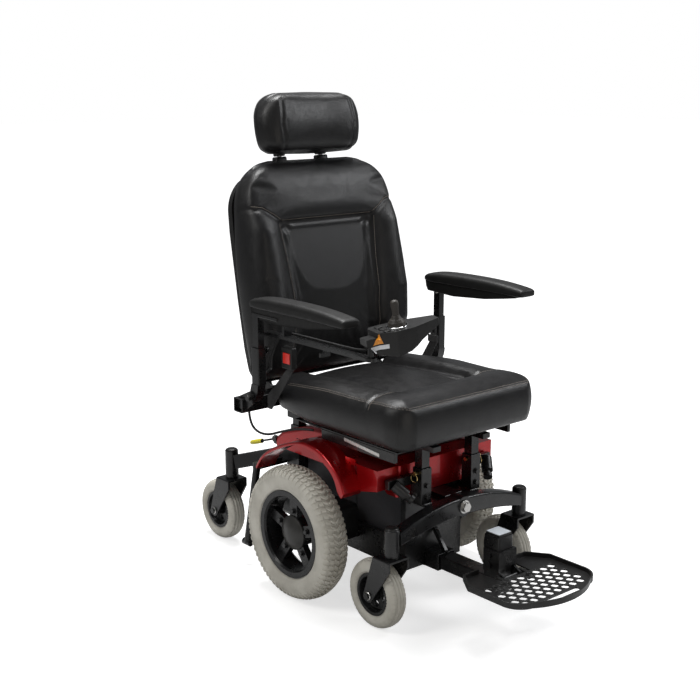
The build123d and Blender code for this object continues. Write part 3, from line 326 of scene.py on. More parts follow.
def stack_faces(count, rows):
    """Quads between rows of `count` vertices laid one after another, and both end caps."""
    faces = []
    for k in range(rows - 1):
        for i in range(count):
            j = (i + 1) % count
            faces.append((k * count + i, k * count + j, (k + 1) * count + j, (k + 1) * count + i))
    faces.append(tuple(reversed(range(count))))
    faces.append(tuple((rows - 1) * count + i for i in range(count)))
    return faces


def turned(levels, origin, turn, count):
    """Vertices of circles of (radius, height), about an axis."""
    verts = []
    for r, h in levels:
        for i in range(count):
            a = 2 * math.pi * i / count
            verts.append(origin + turn @ Vector((r * math.cos(a), r * math.sin(a), h)))
    return verts


def squared(value, power):
    return math.copysign(abs(value) ** power, value)


def lathe_data(profile, centre, axis, count=64, close=True):
    """Vertices and faces of a profile of (radius, height) turned about an axis."""
    turn = axes_to(axis)
    centre = Vector(centre)
    verts, faces = [], []
    rows = len(profile)
    for i in range(count):
        a = 2 * math.pi * i / count
        for r, h in profile:
            verts.append(centre + turn @ Vector((r * math.cos(a), r * math.sin(a), h)))
    for i in range(count):
        j = (i + 1) % count
        for k in range(rows if close else rows - 1):
            n = (k + 1) % rows
            faces.append((i * rows + k, j * rows + k, j * rows + n, i * rows + n))
    return verts, faces


def lathe(name, profile, centre, axis, body, mat, slot=None, count=64, close=True):
    verts, faces = lathe_data(profile, centre, axis, count, close)
    obj = from_data(name, verts, faces, body, mat)
    b = bmesh.new()
    b.from_mesh(obj.data)
    bmesh.ops.remove_doubles(b, verts=b.verts, dist=1e-7)
    bmesh.ops.recalc_face_normals(b, faces=b.faces)
    b.to_mesh(obj.data)
    b.free()
    return obj


def merged(name, parts, body, mat, smooth=True):
    """One piece from several (verts, faces) lists."""
    verts, faces = [], []
    for v, f in parts:
        base = len(verts)
        verts += list(v)
        faces += [tuple(i + base for i in face) for face in f]
    return from_data(name, verts, faces, body, mat, smooth)


def hex_bolt(at, axis, across, height):
    """Vertices and faces of a hex head on its washer, with a chamfered top."""
    turn = axes_to(axis)
    at = Vector(at)
    thick = 0.0014
    corner = across / math.sqrt(3)
    verts = turned([(across * 0.78, 0.0), (across * 0.78, thick)], at, turn, 24)
    faces = stack_faces(24, 2)
    base = len(verts)
    levels = [(corner, thick), (corner, height * 0.8 + thick), (corner * 0.86, height + thick)]
    verts += turned(levels, at, turn, 6)
    faces += [tuple(i + base for i in face) for face in stack_faces(6, 3)]
    return verts, faces


def tube(name, points, body):
    """Round cord on one smooth curve through control points."""
    curve = bpy.data.curves.new(name, "CURVE")
    curve.dimensions = "3D"
    spline = curve.splines.new("NURBS")
    spline.points.add(len(points) - 1)
    for p, co in zip(spline.points, points):
        p.co = (*co, 1)
    spline.order_u = 3
    spline.use_endpoint_u = True
    curve.resolution_u = 12
    curve.bevel_depth = LEAD_RADIUS
    curve.bevel_resolution = 4
    curve.use_fill_caps = True
    obj = bpy.data.objects.new(name, curve)
    bpy.context.scene.collection.objects.link(obj)
    obj.data.materials.append(MATERIALS["cable_sheath"])
    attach(obj, body)
    return obj


def evaluated_mesh(obj):
    deps = bpy.context.evaluated_depsgraph_get()
    deps.update()
    return bpy.data.meshes.new_from_object(obj.evaluated_get(deps), depsgraph=deps)


def surface_tree(obj):
    mesh = evaluated_mesh(obj)
    return BVHTree.FromPolygons([v.co[:] for v in mesh.vertices], [p.vertices[:] for p in mesh.polygons])


# ---------------------------------------------------------------- camera, light and floor
def studio():
    cam = bpy.data.cameras.new("camera")
    cam.lens = 61.425
    cam.sensor_width = 36
    eye = bpy.data.objects.new("camera", cam)
    bpy.context.scene.collection.objects.link(eye)
    eye.location = (-2.06477, -2.23935, 1.32951)
    aim = Vector((0.0171, 0.1876, 0.5978)) - eye.location
    eye.rotation_euler = aim.to_track_quat("-Z", "Y").to_euler()
    bpy.context.scene.camera = eye

    world = bpy.data.worlds.new("world")
    bpy.context.scene.world = world
    world.use_nodes = True
    tree = world.node_tree
    seen = tree.nodes["Background"]
    seen.inputs["Color"].default_value = (1.0, 1.0, 1.0, 1)
    seen.inputs["Strength"].default_value = 1.0
    lit = node(tree, "ShaderNodeBackground", Strength=0.20)
    lit.inputs["Color"].default_value = (0.95, 0.97, 1.0, 1)
    path = node(tree, "ShaderNodeLightPath")
    either = node(tree, "ShaderNodeMixShader")
    tree.links.new(path.outputs["Is Camera Ray"], either.inputs["Fac"])
    tree.links.new(lit.outputs["Background"], either.inputs[1])
    tree.links.new(seen.outputs["Background"], either.inputs[2])
    tree.links.new(either.outputs["Shader"], tree.nodes["World Output"].inputs["Surface"])

    lights = [
        ((-2.6, 0.4, 2.9), (0.8, 1.8), 38, (1.0, 0.99, 0.97)),
        ((2.4, -1.6, 2.6), (0.9, 1.8), 48, (0.97, 0.98, 1.0)),
        ((0.3, 0.7, 3.4), (1.6, 1.4), 135, (1.0, 1.0, 1.0)),
        ((-1.2, -2.8, 0.9), (0.4, 1.4), 7, (1.0, 0.93, 0.84)),
    ]
    for i, (at, size, power, color) in enumerate(lights):
        data = bpy.data.lights.new(f"softbox_{i}", "AREA")
        data.shape = "RECTANGLE"
        data.size, data.size_y = size
        data.energy = power
        data.color = color
        lamp = bpy.data.objects.new(f"softbox_{i}", data)
        bpy.context.scene.collection.objects.link(lamp)
        lamp.location = at
        lamp.rotation_euler = (Vector((0, 0, 0.5)) - Vector(at)).to_track_quat("-Z", "Y").to_euler()

    m, t, p = shader("studio_floor", (0.62, 0.62, 0.62), 0.75)
    add_bump(t, p, [(noise(t, 40, 2), 0.01)], 0.0003)
    p.inputs["Emission Color"].default_value = (1.0, 1.0, 1.0, 1)
    # the sweep of paper behind the chair fades to plain white
    path = node(t, "ShaderNodeLightPath")
    where = node(t, "ShaderNodeNewGeometry")
    away = node(t, "ShaderNodeVectorMath", operation="LENGTH")
    t.links.new(where.outputs["Position"], away.inputs[0])
    glow = node(t, "ShaderNodeMath", operation="MULTIPLY")
    t.links.new(path.outputs["Is Camera Ray"], glow.inputs[0])
    t.links.new(remap(t, away.outputs["Value"], 0.5, 3.0, 0.66, 1.05), glow.inputs[1])
    t.links.new(glow.outputs[0], p.inputs["Emission Strength"])
    mesh = bpy.data.meshes.new("floor")
    reach = 30
    corners = [(-reach, -reach, 0), (reach, -reach, 0), (reach, reach, 0), (-reach, reach, 0)]
    mesh.from_pydata(corners, [], [(0, 1, 2, 3)])
    floor = bpy.data.objects.new("floor", mesh)
    bpy.context.scene.collection.objects.link(floor)
    floor.location.z = -0.0005
    paint(floor, m)
    bpy.context.scene.view_settings.view_transform = "Standard"


# ---------------------------------------------------------------- cushions
def segment_distance(x, y, line):
    """Distance from grid points to a polyline."""
    best = np.full(x.shape, 1e9)
    for (ax, ay), (bx, by) in zip(line, line[1:]):
        dx, dy = bx - ax, by - ay
        t = np.clip(((x - ax) * dx + (y - ay) * dy) / (dx * dx + dy * dy), 0, 1)
        best = np.minimum(best, np.hypot(x - ax - t * dx, y - ay - t * dy))
    return best


def smoothstep(a, b, v):
    t = np.clip((v - a) / (b - a), 0, 1)
    return t * t * (3 - 2 * t)


def cushion(name, low, high, half_at, front, rear, round_front, round_rear, step, bulge, place):
    """Closed pad: a grid in (x, along), a front and a rear depth, and rounded walls.
    Gives the object, the grid's own coordinates and the index of its first underside vertex."""
    nv = int(round((high - low) / step))
    nu = int(round(2 * half_at(np.array([(low + high) / 2]))[0] / step))
    v = np.linspace(low, high, nv + 1)
    u = np.linspace(-1, 1, nu + 1)
    half = half_at(v)
    x = u[None, :] * half[:, None]
    w = np.repeat(v[:, None], nu + 1, 1)

    def rounding(radius):
        ex = np.clip(1 - (half[:, None] - np.abs(x)) / radius, 0, 1)
        ew = np.clip(1 - np.minimum(w - low, high - w) / radius, 0, 1)
        a = np.clip(np.hypot(ex, ew), 0, 1)
        return radius * (1 - np.sqrt(1 - a * a))

    top = front(x, w) - rounding(round_front)
    back = rear(x, w) + rounding(round_rear)
    rows, cols = nv + 1, nu + 1
    verts = [place(x[i, j], w[i, j], top[i, j]) for i in range(rows) for j in range(cols)]
    under = len(verts)
    verts += [place(x[i, j], w[i, j], back[i, j]) for i in range(rows) for j in range(cols)]
    faces = []
    for i in range(nv):
        for j in range(nu):
            a = i * cols + j
            faces.append((a, a + 1, a + cols + 1, a + cols))
            faces.append((under + a, under + a + cols, under + a + cols + 1, under + a + 1))
    ring = [(0, j) for j in range(cols)] + [(i, cols - 1) for i in range(1, rows)]
    ring += [(rows - 1, j) for j in range(cols - 2, -1, -1)] + [(i, 0) for i in range(rows - 2, 0, -1)]
    n = len(ring)
    heights = [top[i, j] - back[i, j] for i, j in ring]
    walls = max(2, int(round(max(heights) / step)))
    pts = np.array([(x[i, j], w[i, j]) for i, j in ring])
    tangent = np.roll(pts, -3, 0) - np.roll(pts, 3, 0)
    normal = np.stack([tangent[:, 1], -tangent[:, 0]], 1)
    normal /= np.maximum(np.linalg.norm(normal, axis=1, keepdims=True), 1e-9)
    index = [[i * cols + j for i, j in ring]]
    for k in range(1, walls):
        t = k / walls
        row = []
        for q, (i, j) in enumerate(ring):
            out = bulge * math.sin(math.pi * t)
            row.append(len(verts))
            d = top[i, j] * (1 - t) + back[i, j] * t
            verts.append(place(pts[q, 0] + normal[q, 0] * out, pts[q, 1] + normal[q, 1] * out, d))
        index.append(row)
    index.append([under + i * cols + j for i, j in ring])
    for a, b in zip(index, index[1:]):
        for q in range(n):
            r = (q + 1) % n
            faces.append((a[q], b[q], b[r], a[r]))
    obj = from_data(name, verts, faces, None, MATERIALS["black_vinyl"])
    return obj, x, w, under


def puff(obj, pinned, cap, pressure):
    """Lets cloth pressure fill a cushion out between its pinned seams, then keeps the result."""
    rest = np.array([v.co for v in obj.data.vertices])
    group = obj.vertex_groups.new(name="pin")
    for i in pinned:
        group.add([int(i)], 1.0, "REPLACE")
    mod = obj.modifiers.new("cloth", "CLOTH")
    s = mod.settings
    s.quality = 6
    s.mass = 0.25
    s.tension_stiffness = s.compression_stiffness = 18
    s.shear_stiffness = 8
    s.bending_stiffness = 2.0
    s.use_pressure = True
    s.uniform_pressure_force = pressure
    s.effector_weights.gravity = 0
    s.vertex_group_mass = "pin"
    mod.collision_settings.use_self_collision = False
    mod.point_cache.frame_start = 1
    mod.point_cache.frame_end = CLOTH_FRAMES
    scene = bpy.context.scene
    for f in range(1, CLOTH_FRAMES + 1):
        scene.frame_set(f)
    mesh = evaluated_mesh(obj)
    moved = np.array([v.co for v in mesh.vertices]) - rest
    obj.modifiers.remove(mod)
    scene.frame_set(1)
    size = np.linalg.norm(moved, axis=1, keepdims=True)
    moved *= np.minimum(1, cap / np.maximum(size, 1e-9))
    obj.data.vertices.foreach_set("co", (rest + moved).ravel())
    obj.data.update()


def finish_cushion(obj, body, node_name):
    sub = obj.modifiers.new("sub", "SUBSURF")
    sub.levels = sub.render_levels = 1
    for poly in obj.data.polygons:
        poly.use_smooth = True
    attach(obj, body)
    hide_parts(node_name)


def stitches(name, obj, lines, probe, body):
    """Thread laid in short stitches over a cushion, along lines given in its own (x, along)."""
    tree = surface_tree(obj)
    parts = []
    for line in lines:
        pts = [Vector(p) for p in line]
        for a, b in zip(pts, pts[1:]):
            count = max(1, int((b - a).length / STITCH_PITCH))
            for k in range(count):
                ends = []
                for f in (k / count, k / count + STITCH_LENGTH / max((b - a).length, 1e-6)):
                    q = a + (b - a) * min(f, 1.0)
                    origin, direction = probe(q.x, q.y)
                    hit = tree.ray_cast(origin, direction)[0]
                    if hit is not None:
                        ends.append(hit - direction * THREAD_RADIUS * 0.3)
                if len(ends) == 2 and 1e-4 < (ends[1] - ends[0]).length < 0.012:
                    parts.append(capsule(ends[0], ends[1], THREAD_RADIUS))
    # the pale stitch colour also serves as a painted highlight along each seam
    return merged(name, parts, body, THREAD_AND_SEAM_HIGHLIGHT)


def capsule(a, b, r):
    """Vertices and faces of one short round-ended rod."""
    d = b - a
    rings = [(0.35 * r, -0.8 * r), (r, 0), (r, d.length), (0.35 * r, d.length + 0.8 * r)]
    return turned(rings, a, axes_to(d.normalized()), 6), stack_faces(6, 4)


def seat():
    low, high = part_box("seat_cushion")
    rear_roll = 0.009
    y0, y1, hx = low.y, high.y + rear_roll, high.x

    def half_at(v):
        corner = 0.064
        from_front = np.clip(1 - (v - y0) / corner, 0, 1)
        from_rear = np.clip(1 - (y1 - v) / 0.045, 0, 1)
        pull = corner * (1 - np.sqrt(1 - from_front**2)) + 0.045 * (1 - np.sqrt(1 - from_rear**2))
        return (hx - 0.003) - 0.007 * smoothstep(0.05, y0, v) - pull

    cross = y0 + 0.131
    panel_line = [(-0.128, y1), (-0.138, cross + 0.04), (-0.118, cross + 0.004), (0.0, cross - 0.008)]
    panel_line += [(0.118, cross + 0.004), (0.138, cross + 0.04), (0.128, y1)]
    across = [(0.128, cross + 0.004), (0.20, cross - 0.006), (0.30, cross - 0.014)]
    cross_lines = [[(s * a, b) for a, b in across] for s in (-1, 1)]

    def front(x, w):
        ax = np.abs(x)
        roll = 0.583 + 0.004 * np.exp(-(((w - y0 - 0.070) / 0.05) ** 2))
        side = 0.582 - 0.016 * smoothstep(-0.05, y1, w)
        behind = smoothstep(cross - 0.02, cross + 0.03, w)
        base = roll * (1 - behind) + side * behind
        middle = 0.553 + 0.006 * (1 - (x / 0.13) ** 2) - 0.004 * smoothstep(0.0, y1, w)
        inside = (1 - smoothstep(0.112, 0.162, ax)) * smoothstep(cross - 0.030, cross + 0.014, w)
        z = base * (1 - inside) + middle * inside
        z -= 0.007 * np.exp(-((segment_distance(x, w, panel_line) / 0.007) ** 2))
        for line in cross_lines:
            z -= 0.0045 * np.exp(-((segment_distance(x, w, line) / 0.005) ** 2))
        edge = np.minimum(half_at(w) - ax, w - y0 - 0.002)
        return z - 0.021 * (1 - np.clip(edge / 0.058, 0, 1)) ** 2.2

    def rear(x, w):
        under = 0.458 + 0.014 * smoothstep(0.05, y1, w) + 0.010 * (1 - smoothstep(y0, y0 + 0.05, w))
        return under + 0.020 * smoothstep(0.205, 0.252, np.abs(x))

    step = 0.005
    obj, x, w, under = cushion(
        "seat_cover", y0 + 0.002, y1 - 0.002, half_at, front, rear, 0.009, 0.016, step, 0.004,
        lambda a, b, c: (a, b, c),
    )
    pins = segment_distance(x, w, panel_line) < 0.004
    for line in cross_lines:
        pins |= segment_distance(x, w, line) < 0.004
    edge = np.minimum(half_at(w) - np.abs(x), np.minimum(w - y0 - 0.002, y1 - 0.002 - w))
    pins |= edge < 0.0105
    pinned = list(np.flatnonzero(pins.ravel())) + list(range(under, 2 * under))
    puff(obj, pinned, 0.007, 4.0)
    finish_cushion(obj, "seat", "seat_cushion")

    def probe(a, b):
        return Vector((a, b, 0.75)), Vector((0, 0, -1))

    rim = []
    for inset in (0.0100, 0.0150):
        ring = []
        ys = np.linspace(y1 - 0.06, y0 + inset, 60)
        for y in ys:
            ring.append((-(half_at(np.array([y]))[0] - inset), y))
        ring += [(x0, y0 + inset) for x0 in np.linspace(ring[-1][0], -ring[-1][0], 40)[1:-1]]
        ring += [(-a, b) for a, b in reversed(ring[:60])]
        rim.append(ring)
    side_lines = [[(a, b - 0.006) for a, b in line] for line in cross_lines]
    stitches("seat_stitching", obj, rim + side_lines, probe, "seat")

    # upright welt of each front corner
    tree = surface_tree(obj)
    parts = []
    for s in SIDES.values():
        inward = Vector((-s * 0.55, 0.835, 0))
        line = []
        for z in np.linspace(0.4850, 0.5600, 16):
            hit = tree.ray_cast(Vector((s * 0.222, y0 + 0.045, z)) - inward * 0.2, inward)[0]
            if hit is not None:
                line.append(hit + inward * 0.0003)
        parts += [capsule(a, b, 0.0009) for a, b in zip(line, line[1:])]
    merged("seat_corner_welts", parts, "seat", MATERIALS["black_vinyl"])


def back_place(a, b, c):
    """(x across, distance up the back, depth towards the front) to the row frame."""
    return (
        a,
        BACK_PIVOT[0] + b * math.sin(LEAN) - c * math.cos(LEAN),
        BACK_PIVOT[1] + b * math.cos(LEAN) + c * math.sin(LEAN),
    )


def back():
    half_full, low, high = 0.265, 0.028, 0.608
    line_z = 0.446
    panel = [(-0.150, low), (-0.142, 0.20), (-0.148, 0.33), (-0.160, line_z), (0.160, line_z)]
    panel += [(0.148, 0.33), (0.142, 0.20), (0.150, low)]
    wing_seam = [(0.160, line_z), (0.185, 0.462), (0.215, 0.482), (0.26, 0.488)]
    wings = [[(s * a, b) for a, b in wing_seam] for s in (-1, 1)]

    def half_at(v):
        top = np.clip((v - (high - 0.150)) / 0.150, 0, 1)
        foot = np.clip(1 - (v - low) / 0.045, 0, 1)
        waist = 0.012 * smoothstep(0.30, 0.50, v) + 0.004 * smoothstep(0.20, 0.05, v)
        return half_full - waist - 0.115 * (1 - np.sqrt(1 - top**2.6)) - 0.036 * (1 - np.sqrt(1 - foot**2))

    knots = np.array([0.026, 0.062, 0.150, 0.240, 0.430, 0.560, 0.610])
    depth = np.array([0.024, 0.046, 0.080, 0.090, 0.072, 0.052, 0.034])

    def front(x, w):
        ax = np.abs(x)
        d = np.interp(w, knots, depth)
        sink = 0.026 * smoothstep(0.0, 0.10, w) * (1 - smoothstep(line_z - 0.02, line_z + 0.015, w))
        inner = np.interp(w, [low, 0.20, 0.33, line_z], [0.150, 0.142, 0.148, 0.160])
        wall = smoothstep(inner - 0.030, inner + 0.026, ax)
        d = d - sink * (1 - wall)
        wing = smoothstep(0.03, 0.14, w) * (1 - smoothstep(0.42, 0.50, w))
        d += 0.016 * np.exp(-(((ax - 0.215) / 0.038) ** 2)) * wing
        d -= 0.010 * smoothstep(0.235, 0.268, ax)
        d -= 0.006 * np.exp(-((segment_distance(x, w, panel) / 0.006) ** 2))
        for line in wings:
            d -= 0.0055 * np.exp(-((segment_distance(x, w, line) / 0.0055) ** 2))
        return d

    def rear(x, w):
        heights = [0.026, 0.120, 0.250, 0.430, 0.560, 0.610]
        return -np.interp(w, heights, [0.0, 0.010, 0.018, 0.024, 0.020, 0.008])

    step = 0.005
    obj, x, w, under = cushion(
        "back_cover", low, high, half_at, front, rear, 0.030, 0.012, step, 0.003, back_place
    )
    pins = segment_distance(x, w, panel) < 0.004
    for line in wings:
        pins |= segment_distance(x, w, line) < 0.004
    pinned = list(np.flatnonzero(pins.ravel())) + list(range(under, 2 * under))
    puff(obj, pinned, 0.007, 3.5)
    finish_cushion(obj, "back", "back_cushion")

    outward = Vector((0, -math.cos(LEAN), math.sin(LEAN)))

    def probe(a, b):
        return Vector(back_place(a, b, 0.0)) + outward * 0.3, -outward

    lines = [[(-0.156, line_z + 0.006), (0.156, line_z + 0.006)]]
    for s in (-1, 1):
        for line in (
            [(0.156, low + 0.02), (0.148, 0.20), (0.154, 0.33), (0.166, line_z - 0.004)],
            [(0.160, line_z + 0.008), (0.182, 0.468), (0.213, 0.488), (0.244, 0.494)],
        ):
            lines.append([(s * a, b) for a, b in line])
    stitches("back_stitching", obj, lines, probe, "back")


def headrest():
    low, high = 0.630, 0.785

    def half_at(v):
        t = (v - low) / (high - low)
        w = 0.152 + 0.017 * np.sin(np.pi * np.clip(t * 0.85 + 0.08, 0, 1))
        top = np.clip((v - (high - 0.062)) / 0.062, 0, 1)
        foot = np.clip(1 - (v - low) / 0.035, 0, 1)
        return w - 0.046 * (1 - np.sqrt(1 - top**2)) - 0.022 * (1 - np.sqrt(1 - foot**2))

    seams = [[(s * 0.112, low + 0.004), (s * 0.124, low + 0.07), (s * 0.116, high - 0.02)] for s in (-1, 1)]

    def front(x, w):
        ax = np.abs(x)
        t = (w - low) / (high - low)
        d = 0.050 + 0.012 * np.sin(np.pi * np.clip(t, 0, 1)) + 0.006 * smoothstep(0.02, 0.115, ax)
        d -= 0.020 * smoothstep(0.120, 0.170, ax)
        for line in seams:
            d -= 0.003 * np.exp(-((segment_distance(x, w, line) / 0.0045) ** 2))
        return d

    def rear(x, w):
        return -0.024 + 0.012 * (np.abs(x) / 0.17) ** 3

    step = 0.0045
    obj, x, w, under = cushion(
        "headrest_cover", low, high, half_at, front, rear, 0.026, 0.016, step, 0.002, back_place
    )
    pins = np.minimum(half_at(w) - np.abs(x), np.minimum(w - low, high - w)) < 0.003
    for line in seams:
        pins |= segment_distance(x, w, line) < 0.003
    puff(obj, list(np.flatnonzero(pins.ravel())), 0.006, 3.5)
    finish_cushion(obj, "headrest", "headrest_cushion")

    # guide of each rod on the back, and the sleeve under the cushion
    up = Vector((0, math.sin(LEAN), math.cos(LEAN)))
    for body, part, start, length, rx, ry in (
        ("back", "guides", 0.600, 0.022, 0.019, 0.013),
        ("headrest", "sleeves", 0.624, 0.012, 0.015, 0.011),
    ):
        parts = []
        for s in SIDES.values():
            foot = Vector(back_place(s * 0.072, start, -0.031))
            ring = []
            for i in range(24):
                a = 2 * math.pi * i / 24
                cx = rx * squared(math.cos(a), 0.5)
                cy = ry * squared(math.sin(a), 0.5)
                ring.append(Vector((cx, 0, 0)) + up.cross(Vector((1, 0, 0))) * cy)
            levels = [(0.92, 0.0), (1.0, 0.002), (1.0, length - 0.003), (0.9, length)]
            verts = [foot + q * k + up * h for k, h in levels for q in ring]
            parts.append((verts, stack_faces(24, len(levels))))
        merged(f"headrest_{part}", parts, body, MATERIALS["black_plastic"])


# ---------------------------------------------------------------- arm pads
def arm_pad(name):
    low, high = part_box(f"arm_pad_{name}")
    mid = (low.x + high.x) / 2
    half = (high.x - low.x) / 2
    stations = [
        (high.y, 0.7755, 0.768, 0.74),
        (high.y - 0.006, 0.784, 0.765, 0.88),
        (high.y - 0.024, 0.789, 0.763, 0.98),
        (0.110, 0.7945, 0.763, 1.0),
        (0.030, 0.7965, 0.763, 1.0),
        (-0.050, 0.7965, 0.764, 0.99),
        (-0.110, 0.794, 0.764, 0.98),
        (-0.160, 0.789, 0.763, 0.96),
        (-0.184, 0.786, 0.7625, 0.94),
        (low.y + 0.003, 0.7835, 0.7635, 0.91),
        (low.y, 0.780, 0.767, 0.84),
    ]
    count = 40
    verts = []
    for y, top, bottom, wide in stations:
        zc, hz, hw = (top + bottom) / 2, (top - bottom) / 2, half * wide
        for i in range(count):
            a = 2 * math.pi * i / count
            c, s = math.cos(a), math.sin(a)
            pz = hz * squared(s, 0.85 if s > 0 else 0.30)
            verts.append((mid + hw * squared(c, 0.45), y, zc + pz))
    faces = stack_faces(count, len(stations))
    pad = from_data(f"arm_cushion_{name}", verts, faces, f"arm_{name}", MATERIALS["arm_pad"])
    sub = pad.modifiers.new("sub", "SUBSURF")
    sub.levels = sub.render_levels = 2
    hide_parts(f"arm_pad_{name}")

    # moulded web under the pad, narrower than it
    outline = [(0.170, 0.766), (0.167, 0.750), (0.160, 0.738), (0.060, 0.733), (-0.060, 0.742)]
    outline += [(-0.130, 0.7525), (-0.172, 0.7595), (-0.176, 0.766), (0.0, 0.768)]
    inset = half - 0.006
    rings = [(0.0035 - inset, 0.0022), (-inset, 0.0), (inset, 0.0), (inset - 0.0035, 0.0022)]
    cy = sum(p[0] for p in outline) / len(outline)
    cz = sum(p[1] for p in outline) / len(outline)
    verts = []
    for xo, shrink in rings:
        for y, z in outline:
            d = Vector((cy - y, cz - z))
            d = d.normalized() * shrink
            verts.append((mid + xo, y + d.x, z + d.y))
    faces = stack_faces(len(outline), len(rings))
    web = from_data(f"arm_web_{name}", verts, faces, f"arm_{name}", MATERIALS["arm_pad"])
    bevelled(web, 0.0025, 3, 20)
    parts = [hex_bolt((mid, y, 0.7335), (0, 0, -1), 0.009, 0.003) for y in (0.075, 0.145)]
    merged(f"arm_screws_{name}", parts, f"arm_{name}", MATERIALS["bright_steel"], False)


# ---------------------------------------------------------------- tyres
def revolve_grid(name, profile, centre, count, body, height=None):
    """Closed ring about X from (across, radius) points; height(angle, k) adds to a radius."""
    verts, faces = [], []
    n = len(profile)
    for i in range(count):
        a = 2 * math.pi * i / count
        for k, (across, r) in enumerate(profile):
            rr = r + (height(a, k) if height else 0.0)
            verts.append(centre + Vector((across, rr * math.cos(a), rr * math.sin(a))))
    for i in range(count):
        j = (i + 1) % count
        for k in range(n):
            m = (k + 1) % n
            faces.append((i * n + k, j * n + k, j * n + m, i * n + m))
    return from_data(name, verts, faces, body, MATERIALS["grey_tyre"])


def drive_tyre(side, name):
    low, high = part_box(f"drive_tyre_{name}")
    centre = (low + high) / 2
    radius, half = (high.z - low.z) / 2, (high.x - low.x) / 2
    crown = [(0.0, radius - 0.0052), (0.35, radius - 0.0060)]
    crown += [(0.62, radius - 0.0085), (0.80, radius - 0.0130)]
    wall = [(0.90, 0.1605), (0.945, 0.1560), (0.955, 0.1535), (0.945, 0.1515), (0.965, 0.1480)]
    wall += [(0.975, 0.1420), (0.955, 0.1340), (0.900, 0.1260), (0.850, 0.1215), (0.845, 0.1195)]
    wall += [(0.800, 0.1190), (0.740, 0.1165), (0.700, 0.1158), (0.70, 0.1045)]
    right = [(u * half, r) for u, r in crown + wall]
    left = [(-a, r) for a, r in reversed(right[1:])]
    profile = left + right
    body = f"drive_wheel_{name}"
    carcass = revolve_grid(f"drive_tyre_body_{name}", profile, centre, 192, body)
    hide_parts(f"drive_tyre_{name}")

    def crown_r(a):
        """Radius of the tread's top at a distance across."""
        t = abs(a) / half
        if t < 0.84:
            return radius - 0.0105 * (t / 0.84) ** 2
        return radius - 0.0105 - 0.0085 * ((t - 0.84) / 0.13) ** 1.2

    pitches = 66
    step = 2 * math.pi / pitches
    # blocks in one pitch: corners as (angle in pitches, share of half width)
    blocks = [
        [(0.06, -0.26), (0.60, 0.03), (0.96, 0.03), (0.44, -0.26)],
        [(0.56, 0.09), (0.06, 0.36), (0.44, 0.36), (0.94, 0.09)],
        [(0.08, -0.62), (0.34, -0.34), (0.74, -0.34), (0.54, -0.62)],
        [(0.34, 0.44), (0.08, 0.70), (0.54, 0.70), (0.74, 0.44)],
        [(0.12, -0.97), (0.12, -0.69), (0.66, -0.69), (0.58, -0.97)],
        [(0.12, 0.77), (0.12, 0.97), (0.58, 0.97), (0.66, 0.77)],
    ]
    verts, faces = [], []

    def put(angle, across, drop):
        r = crown_r(across) - drop
        y, z = centre.y + r * math.cos(angle), centre.z + r * math.sin(angle)
        verts.append((centre.x + side * across, y, z))
        return len(verts) - 1

    for p in range(pitches):
        jitter = float(rng.normal(0, 0.0001))
        for corners in blocks:
            c = [Vector(q) for q in corners]
            rings = []
            for grow, drop in ((0.06, 0.0065), (0.015, 0.0009 + jitter), (-0.04, 0.0001 + jitter)):
                middle = sum(c, Vector((0, 0))) / 4
                ring = []
                for i in range(4):
                    a, b = c[i], c[(i + 1) % 4]
                    for s in range(3):
                        q = a + (b - a) * (s / 3)
                        q = middle + (q - middle) * (1 + grow)
                        ring.append(put((p + q.x) * step, q.y * half, drop))
                rings.append(ring)
            for lo, hi in zip(rings, rings[1:]):
                for i in range(12):
                    j = (i + 1) % 12
                    faces.append((lo[i], lo[j], hi[j], hi[i]))
            top = rings[-1]
            mid_i = put((p + middle.x) * step, middle.y * half, 0.0001 + jitter)
            for i in range(12):
                faces.append((top[i], top[(i + 1) % 12], mid_i))
    rubber = MATERIALS["grey_tyre"]
    from_data(f"drive_tread_{name}", verts, faces, body, rubber, smooth=False)


def caster_tyre(place, name):
    low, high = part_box(f"caster_tyre_{place}_{name}")
    centre = (low + high) / 2
    radius, half = (high.z - low.z) / 2, (high.x - low.x) / 2
    ribs = [(0.0, 0.0), (0.10, 0.0002), (0.14, 0.0028), (0.20, 0.0028), (0.24, 0.0006), (0.44, 0.0016)]
    ribs += [(0.48, 0.0042), (0.54, 0.0046), (0.58, 0.0030), (0.76, 0.0062), (0.88, 0.0110)]
    ribs += [(0.955, 0.017), (0.975, 0.019), (0.960, 0.0205), (0.985, 0.024)]
    wall = [(0.97, 0.0610), (0.88, 0.0575), (0.76, 0.0555), (0.71, 0.0545), (0.70, 0.0505)]
    right = [(u * half, radius - drop) for u, drop in ribs] + [(u * half, r) for u, r in wall]
    profile = [(-a, r) for a, r in reversed(right[1:])] + right
    sipes = 44

    def height(angle, k):
        across = abs(profile[k][0]) / half
        if 0.56 < across < 0.93:
            return -0.0022 * max(0.0, math.cos(angle * sipes)) ** 6
        return 0.0

    body = f"caster_wheel_{place}_{name}"
    tyre = revolve_grid(f"caster_tread_{place}_{name}", profile, centre, 352, body, height)
    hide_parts(f"caster_tyre_{place}_{name}")


# ---------------------------------------------------------------- carried-over CAD nodes
def carried_over():
    slots = {s["node"]: s["material_slot"] for s in frame["record"]["subparts"]}
    heavy = ("base_frame", "front_frame", "seat_frame", "cross_tube", "front_beam")
    heavy += ("footrest_arm", "arm_post")
    for name, obj in nodes.items():
        paint(obj, MATERIALS[slots[name]])
        width = 0.0012
        if name.startswith(("shroud", "fender")):
            width = 0.0016
        if name.startswith(("power_key", "horn_key", "speed_rocker", "belt", "buckle")):
            width = 0.0006
        if name.startswith(heavy):
            width = 0.0022
        dress(obj, width, 3 if width > 0.002 else 2)
    for name in SIDES:
        paint(nodes[f"hub_cap_{name}"], HUB_GREY)
    paint(nodes["seat_pins"], BRASS)
    paint(nodes["joystick_gimbal"], BOOT)
    paint(nodes["joystick_knob"], BOOT)


